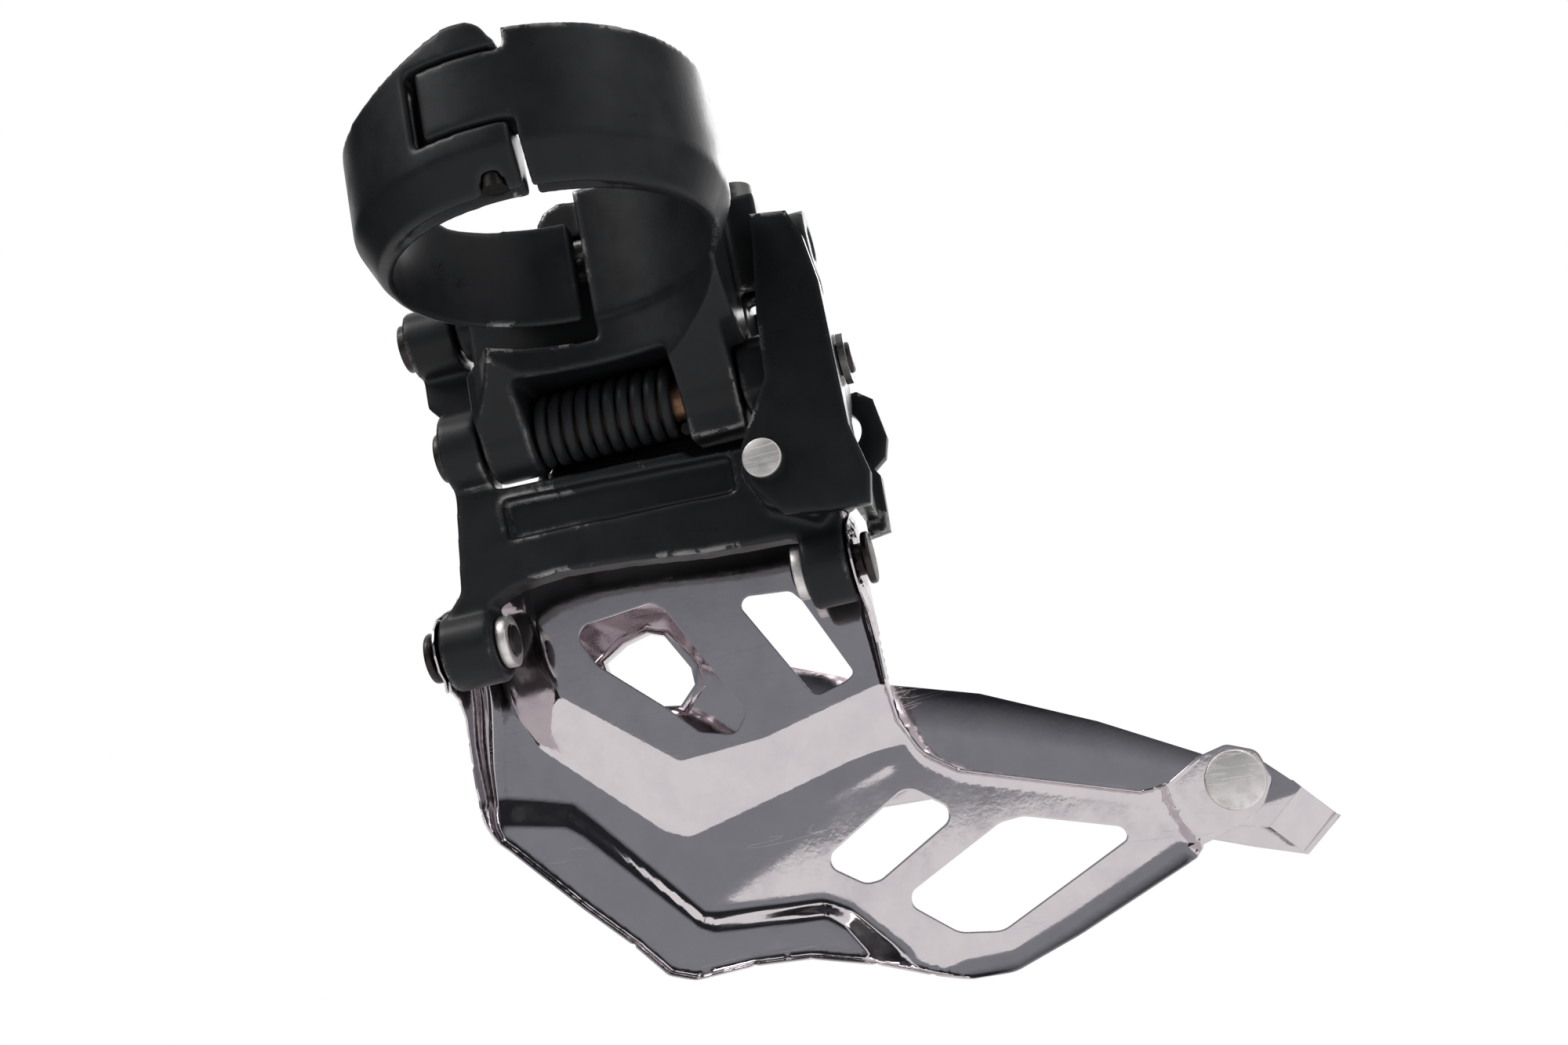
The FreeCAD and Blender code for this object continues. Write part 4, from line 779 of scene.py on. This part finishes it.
class DERAILLEUR_OT_castings(bpy.types.Operator):
    """Softens the die-cast clamp, body and links"""
    bl_idname = "derailleur.castings"
    bl_label = "Castings"

    def execute(self, context):
        settings = context.scene.derailleur_casting
        for node, body in CASTINGS:
            mesh = smooth_shaded(rounded_casting(node, settings), 60)
            piece = new_piece(node + "_casting", mesh, body, "black_paint")
            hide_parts(node)
        return {"FINISHED"}


def finished_sheet(mesh, settings):
    """Gives a shaped sheet its thickness and eases its sheared edges."""
    thick = settled(mesh.name + "_thick", mesh, [
        ("SOLIDIFY", {"thickness": settings.sheet, "offset": -1.0, "use_even_offset": True,
                      "thickness_clamp": 1.0})])
    return settled(mesh.name + "_eased", thick, [
        ("BEVEL", {"width": settings.edge, "segments": 2, "limit_method": "ANGLE",
                   "angle_limit": math.radians(50), "use_clamp_overlap": True})])


class DERAILLEUR_OT_inner_plate(bpy.types.Operator):
    """Presses the cage's inner plate from one sheet, with its panel, foot, tail, ears and turned edge"""
    bl_idname = "derailleur.inner_plate"
    bl_label = "Inner plate"

    def execute(self, context):
        settings = context.scene.derailleur_cage
        radii = [EDGE_ROUNDING.get(corner, PLAIN_ROUNDING) for corner in range(len(PLATE_EDGE))]
        edge = divided(fillet(PLATE_EDGE, radii, ARC_STEP), EDGE_STEP)
        holes = [fillet(window, radius, ARC_STEP)
                 for window, radius in zip(PLATE_WINDOWS, WINDOW_ROUNDINGS)]
        fold = EAR_FOLD * (math.pi / 2 - 2)
        holes.append(np.array(ring_points(FRONT_EAR - fold - MAIN_LEVEL, 0.0, PIVOT_HOLE)))
        holes.append(np.array(ring_points(REAR_EAR + fold + PANEL_LEVEL, 0.0, PIVOT_HOLE)))
        holes.append(np.array(ring_points(*TAIL_RIVET, TAIL_HOLE)))
        mesh = sheet_mesh("inner_plate_sheet", blank_of(edge), holes, settings.grid / MM,
                          inner_plate_shape(edge))
        piece = new_piece("cage_inner_plate_pressed", smooth_shaded(finished_sheet(mesh, settings), 40),
                          "cage", "cage_chrome")
        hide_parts("cage_inner_plate")
        return {"FINISHED"}


EASED = (("cage_outer_plate", "cage", 0.00026), ("lever_plate", "inner_link", 0.00035),
         ("lever_rivet", "inner_link", 0.00025), ("cable_plate", "inner_link", 0.00018),
         ("cable_nut", "inner_link", 0.00018), ("clamp_bolt_washer", "band", 0.00015),
         ("inner_pivot_pin", "inner_link", 0.0003),
         ("cage_pin_front", "cage", 0.0003), ("cage_pin_rear", "cage", 0.0003),
         ("outer_link_cage_pin", "cage", 0.0003), ("cage_tail_rivet", "cage", 0.0003),
         ("pin_collar_front", "cage", 0.00018), ("pin_collar_rear", "cage", 0.00018))


class DERAILLEUR_OT_hardware(bpy.types.Operator):
    """Eases the edges of the outer plate, the lever, the pins, rivets and the cable's fittings"""
    bl_idname = "derailleur.hardware"
    bl_label = "Hardware"

    def execute(self, context):
        slots = {row["node"]: row["material_slot"] for row in frame["record"]["subparts"]}
        for node, body, width in EASED:
            mesh = smooth_shaded(eased_copy(node, width), 32)
            piece = new_piece(node + "_shown", mesh, body, slots[node])
            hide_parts(node)
        return {"FINISHED"}


def coil_tree(finish):
    """Geometry Nodes for a coil: a spiral swept with round wire."""
    tree = bpy.data.node_groups.new("coil", "GeometryNodeTree")
    for label, kind, default in (("Wire", "NodeSocketFloat", 0.75), ("Radius", "NodeSocketFloat", 3.75),
                                 ("Length", "NodeSocketFloat", 17.2), ("Turns", "NodeSocketFloat", 10.0)):
        tree.interface.new_socket(label, in_out="INPUT", socket_type=kind).default_value = default
    tree.interface.new_socket("Geometry", in_out="OUTPUT", socket_type="NodeSocketGeometry")
    given = tree.nodes.new("NodeGroupInput").outputs
    sink = tree.nodes.new("NodeGroupOutput")
    spiral = add(tree, "GeometryNodeCurveSpiral", inputs={
        "Resolution": 30, "Rotations": given["Turns"], "Start Radius": given["Radius"],
        "End Radius": given["Radius"], "Height": given["Length"]})
    section = add(tree, "GeometryNodeCurvePrimitiveCircle", inputs={"Resolution": 14, "Radius": given["Wire"]})
    swept = add(tree, "GeometryNodeCurveToMesh", inputs={
        "Curve": spiral.outputs[0], "Profile Curve": section.outputs[0], "Fill Caps": True})
    smooth = add(tree, "GeometryNodeSetShadeSmooth", inputs={"Geometry": swept.outputs[0]})
    whole = add(tree, "GeometryNodeRealizeInstances", inputs={"Geometry": smooth.outputs[0]})
    coloured = add(tree, "GeometryNodeSetMaterial", inputs={
        "Geometry": whole.outputs[0], "Material": bpy.data.materials[finish]})
    tree.links.new(coloured.outputs[0], sink.inputs[0])
    return tree


COIL_START = -0.01095


class DERAILLEUR_OT_spring(bpy.types.Operator):
    """Winds the return spring round the inner pivot's sleeve"""
    bl_idname = "derailleur.spring"
    bl_label = "Return spring"

    def execute(self, context):
        settings = context.scene.derailleur_spring
        tree = coil_tree("spring_black")
        holder = bpy.data.objects.new("coil", bpy.data.meshes.new("coil"))
        context.scene.collection.objects.link(holder)
        modifier = holder.modifiers.new("coil", "NODES")
        modifier.node_group = tree
        values = {"Wire": settings.wire, "Radius": settings.radius, "Length": settings.length,
                  "Turns": settings.turns}
        for item in tree.interface.items_tree:
            if item.in_out == "INPUT":
                modifier[item.identifier] = values[item.name]
        holder.update_tag()
        graph = context.evaluated_depsgraph_get()
        mesh = bpy.data.meshes.new_from_object(holder.evaluated_get(graph))
        bpy.data.objects.remove(holder)
        start = Vector((LINK_PIVOT.x + COIL_START, LINK_PIVOT.y, LINK_PIVOT.z))
        mesh.transform(Matrix.Translation(start) @ Matrix.Rotation(math.radians(90), 4, "Y"))
        mesh.shade_smooth()
        piece = new_piece("return_spring_coil", mesh, "body", "spring_black")
        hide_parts("return_spring")
        return {"FINISHED"}


# ---------------------------------------------------------------- stage

# Light of the surroundings on matt faces, the floor's own glow and its tone in mirrors.
FILL_LIGHT, FLOOR_GLOW, FLOOR_MIRRORED = 0.55, 0.56, 0.97
# Tones of the dark sheets that plated faces mirror: in front, low and high, and at the sides.
LOW_TONE, HIGH_TONE, SIDE_TONE = (0.285, 0.30, 0.325), (0.022, 0.024, 0.028), (0.014, 0.014, 0.016)
# Place, azimuth, elevation and roll in degrees, and lens in millimetres.
VIEWPOINT = ((0.04601, -0.17885, -0.08959), 8.533, -14.122, 11.278, 41.486)


def white_for_the_eye(tree, light_path):
    """1 where a ray comes from the camera, a mirror or glass."""
    seen = maths(tree, "MAXIMUM", light_path.outputs["Is Camera Ray"], light_path.outputs["Is Glossy Ray"])
    return maths(tree, "MAXIMUM", seen, light_path.outputs["Is Transmission Ray"])


def make_world(level):
    world = bpy.data.worlds.new("studio")
    bpy.context.scene.world = world
    world.use_nodes = True
    tree = world.node_tree
    tree.nodes.clear()
    light_path = add(tree, "ShaderNodeLightPath")
    tone = remap(tree, white_for_the_eye(tree, light_path), 0.0, 1.0, level, 1.0)
    background = add(tree, "ShaderNodeBackground", inputs={"Color": (1.0, 1.0, 1.0, 1.0), "Strength": tone})
    sink = add(tree, "ShaderNodeOutputWorld")
    tree.links.new(background.outputs[0], sink.inputs["Surface"])


def floor_material(tone):
    """Pale floor: white for the eye, plain to other light, clear from below."""
    made = bpy.data.materials.new("pale_floor")
    made.use_nodes = True
    tree = made.node_tree
    tree.nodes.clear()
    sink = add(tree, "ShaderNodeOutputMaterial")
    matt = add(tree, "ShaderNodeBsdfDiffuse", inputs={"Color": (*tone, 1.0)})
    glow = add(tree, "ShaderNodeEmission", inputs={"Color": (1.0, 1.0, 1.0, 1.0), "Strength": FLOOR_GLOW})
    both = add(tree, "ShaderNodeAddShader")
    tree.links.new(matt.outputs[0], both.inputs[0])
    tree.links.new(glow.outputs[0], both.inputs[1])
    plain = add(tree, "ShaderNodeEmission", inputs={"Color": (1.0, 1.0, 1.0, 1.0), "Strength": FLOOR_MIRRORED})
    mirrored = add(tree, "ShaderNodeLightPath").outputs["Is Glossy Ray"]
    lit = add(tree, "ShaderNodeMixShader", inputs={0: mirrored})
    tree.links.new(both.outputs[0], lit.inputs[1])
    tree.links.new(plain.outputs[0], lit.inputs[2])
    clear = add(tree, "ShaderNodeBsdfTransparent")
    side = add(tree, "ShaderNodeNewGeometry")
    choice = add(tree, "ShaderNodeMixShader", inputs={0: side.outputs["Backfacing"]})
    tree.links.new(lit.outputs[0], choice.inputs[1])
    tree.links.new(clear.outputs[0], choice.inputs[2])
    tree.links.new(choice.outputs[0], sink.inputs["Surface"])
    return made


def flat_sheet(name, width, depth, matrix, material):
    mesh = bpy.data.meshes.new(name)
    half = (width / 2, depth / 2)
    corners = [(-half[0], -half[1], 0), (half[0], -half[1], 0), (half[0], half[1], 0), (-half[0], half[1], 0)]
    mesh.from_pydata([matrix @ Vector(corner) for corner in corners], [], [(0, 1, 2, 3)])
    mesh.materials.append(material)
    item = bpy.data.objects.new(name, mesh)
    bpy.context.scene.collection.objects.link(item)
    return item


def dark_card(name, width, height, matrix, low_tone, high_tone, fade):
    """A dark upright sheet that only mirrors see; its tone fades between two levels."""
    material = bpy.data.materials.new(name)
    material.use_nodes = True
    tree = material.node_tree
    tree.nodes.clear()
    level = add(tree, "ShaderNodeSeparateXYZ", inputs={0: object_place(tree)}).outputs[2]
    tone = blend_colour(tree, remap(tree, level, *fade), low_tone, high_tone)
    glow = add(tree, "ShaderNodeEmission", inputs={"Color": tone, "Strength": 1.0})
    sink = add(tree, "ShaderNodeOutputMaterial")
    tree.links.new(glow.outputs[0], sink.inputs["Surface"])
    card = flat_sheet(name, width, height, matrix, material)
    card.visible_camera = False
    card.visible_diffuse = False
    card.visible_shadow = False
    card.visible_transmission = False


def soft_lamp(name, place, target, width, height, power):
    lamp = bpy.data.lights.new(name, "AREA")
    lamp.shape = "RECTANGLE"
    lamp.size = width
    lamp.size_y = height
    lamp.energy = power
    item = bpy.data.objects.new(name, lamp)
    item.location = place
    item.rotation_euler = (Vector(target) - Vector(place)).to_track_quat("-Z", "Y").to_euler()
    bpy.context.scene.collection.objects.link(item)
    return item


def aim_camera(place, azimuth, elevation, roll, lens):
    """A camera at a place, seen from azimuth and elevation, turned by roll."""
    side, rise, turn = (math.radians(v) for v in (azimuth, elevation, roll))
    back = Vector((math.sin(side) * math.cos(rise), -math.cos(side) * math.cos(rise), math.sin(rise)))
    right = Vector((math.cos(side), math.sin(side), 0.0))
    up = back.cross(right)
    across = right * math.cos(turn) - up * math.sin(turn)
    upward = right * math.sin(turn) + up * math.cos(turn)
    camera = bpy.data.cameras.new("camera")
    camera.lens = lens
    camera.sensor_width = 36.0
    camera.clip_start = 0.005
    item = bpy.data.objects.new("camera", camera)
    item.matrix_world = Matrix.Translation(Vector(place)) @ Matrix((across, upward, back)).transposed().to_4x4()
    bpy.context.scene.collection.objects.link(item)
    bpy.context.scene.camera = item


class DERAILLEUR_OT_stage(bpy.types.Operator):
    """Sets up the pale floor, the soft light and the camera"""
    bl_idname = "derailleur.stage"
    bl_label = "Stage"

    def execute(self, context):
        settings = context.scene.derailleur_stage
        low, high = CAD_BOX
        middle = (low + high) / 2
        make_world(FILL_LIGHT)
        level = low.z - settings.drop
        flat_sheet("floor", 3.0, 3.0, Matrix.Translation((middle.x, middle.y, level)),
                   floor_material(tuple(settings.floor)))
        ahead = Matrix.Rotation(math.radians(90), 4, "X")
        left = Matrix.Rotation(math.radians(90), 4, "Z") @ ahead
        dark_card("front_card", 0.70, 0.70, Matrix.Translation((-0.03, -0.36, 0.255)) @ ahead,
                  LOW_TONE, HIGH_TONE, (0.02, 0.15))
        dark_card("left_card", 0.66, 0.48, Matrix.Translation((-0.36, -0.03, 0.115)) @ left,
                  SIDE_TONE, SIDE_TONE, (0.0, 0.1))
        dark_card("right_card", 0.66, 0.48, Matrix.Translation((0.42, -0.03, 0.115)) @ left,
                  SIDE_TONE, SIDE_TONE, (0.0, 0.1))
        soft_lamp("key_lamp", (-0.35, -0.30, 0.45), middle, 0.35, 0.35, 3.2)
        soft_lamp("side_lamp", (0.50, -0.10, 0.15), middle, 0.25, 0.5, 2.0)
        soft_lamp("back_lamp", (0.05, 0.55, 0.30), middle, 0.5, 0.3, 2.0)
        aim_camera(*VIEWPOINT)
        context.scene.view_settings.view_transform = "Standard"
        return {"FINISHED"}


class DERAILLEUR_PT_panel(bpy.types.Panel):
    """Lists the steps that dress the derailleur"""
    bl_idname = "DERAILLEUR_PT_panel"
    bl_label = "Front derailleur"
    bl_space_type = "VIEW_3D"
    bl_region_type = "UI"
    bl_category = "Derailleur"

    def draw(self, context):
        for name, group, _ in SETTINGS:
            column = self.layout.column()
            for prop in group.__annotations__:
                column.prop(getattr(context.scene, name), prop)
        for operator in OPERATORS:
            self.layout.operator(operator.bl_idname)


SETTINGS = (
    ("derailleur_finish", FinishSettings, "Colours and wear"),
    ("derailleur_casting", CastingSettings, "Castings"),
    ("derailleur_cage", CageSettings, "Cage"),
    ("derailleur_spring", SpringSettings, "Spring"),
    ("derailleur_stage", StageSettings, "Stage"),
)
OPERATORS = (DERAILLEUR_OT_finishes, DERAILLEUR_OT_castings, DERAILLEUR_OT_inner_plate,
             DERAILLEUR_OT_hardware, DERAILLEUR_OT_spring, DERAILLEUR_OT_stage)


def register():
    for name, group, text in SETTINGS:
        bpy.utils.register_class(group)
        setattr(bpy.types.Scene, name, bpy.props.PointerProperty(type=group, name=text))
    for kind in (*OPERATORS, DERAILLEUR_PT_panel):
        bpy.utils.register_class(kind)


def unregister():
    for kind in (DERAILLEUR_PT_panel, *reversed(OPERATORS)):
        bpy.utils.unregister_class(kind)
    for name, group, _ in reversed(SETTINGS):
        delattr(bpy.types.Scene, name)
        bpy.utils.unregister_class(group)


def main():
    register()
    for operator in OPERATORS:
        family, name = operator.bl_idname.split(".")
        getattr(getattr(bpy.ops, family), name)()


if __name__ == "__main__":
    main()
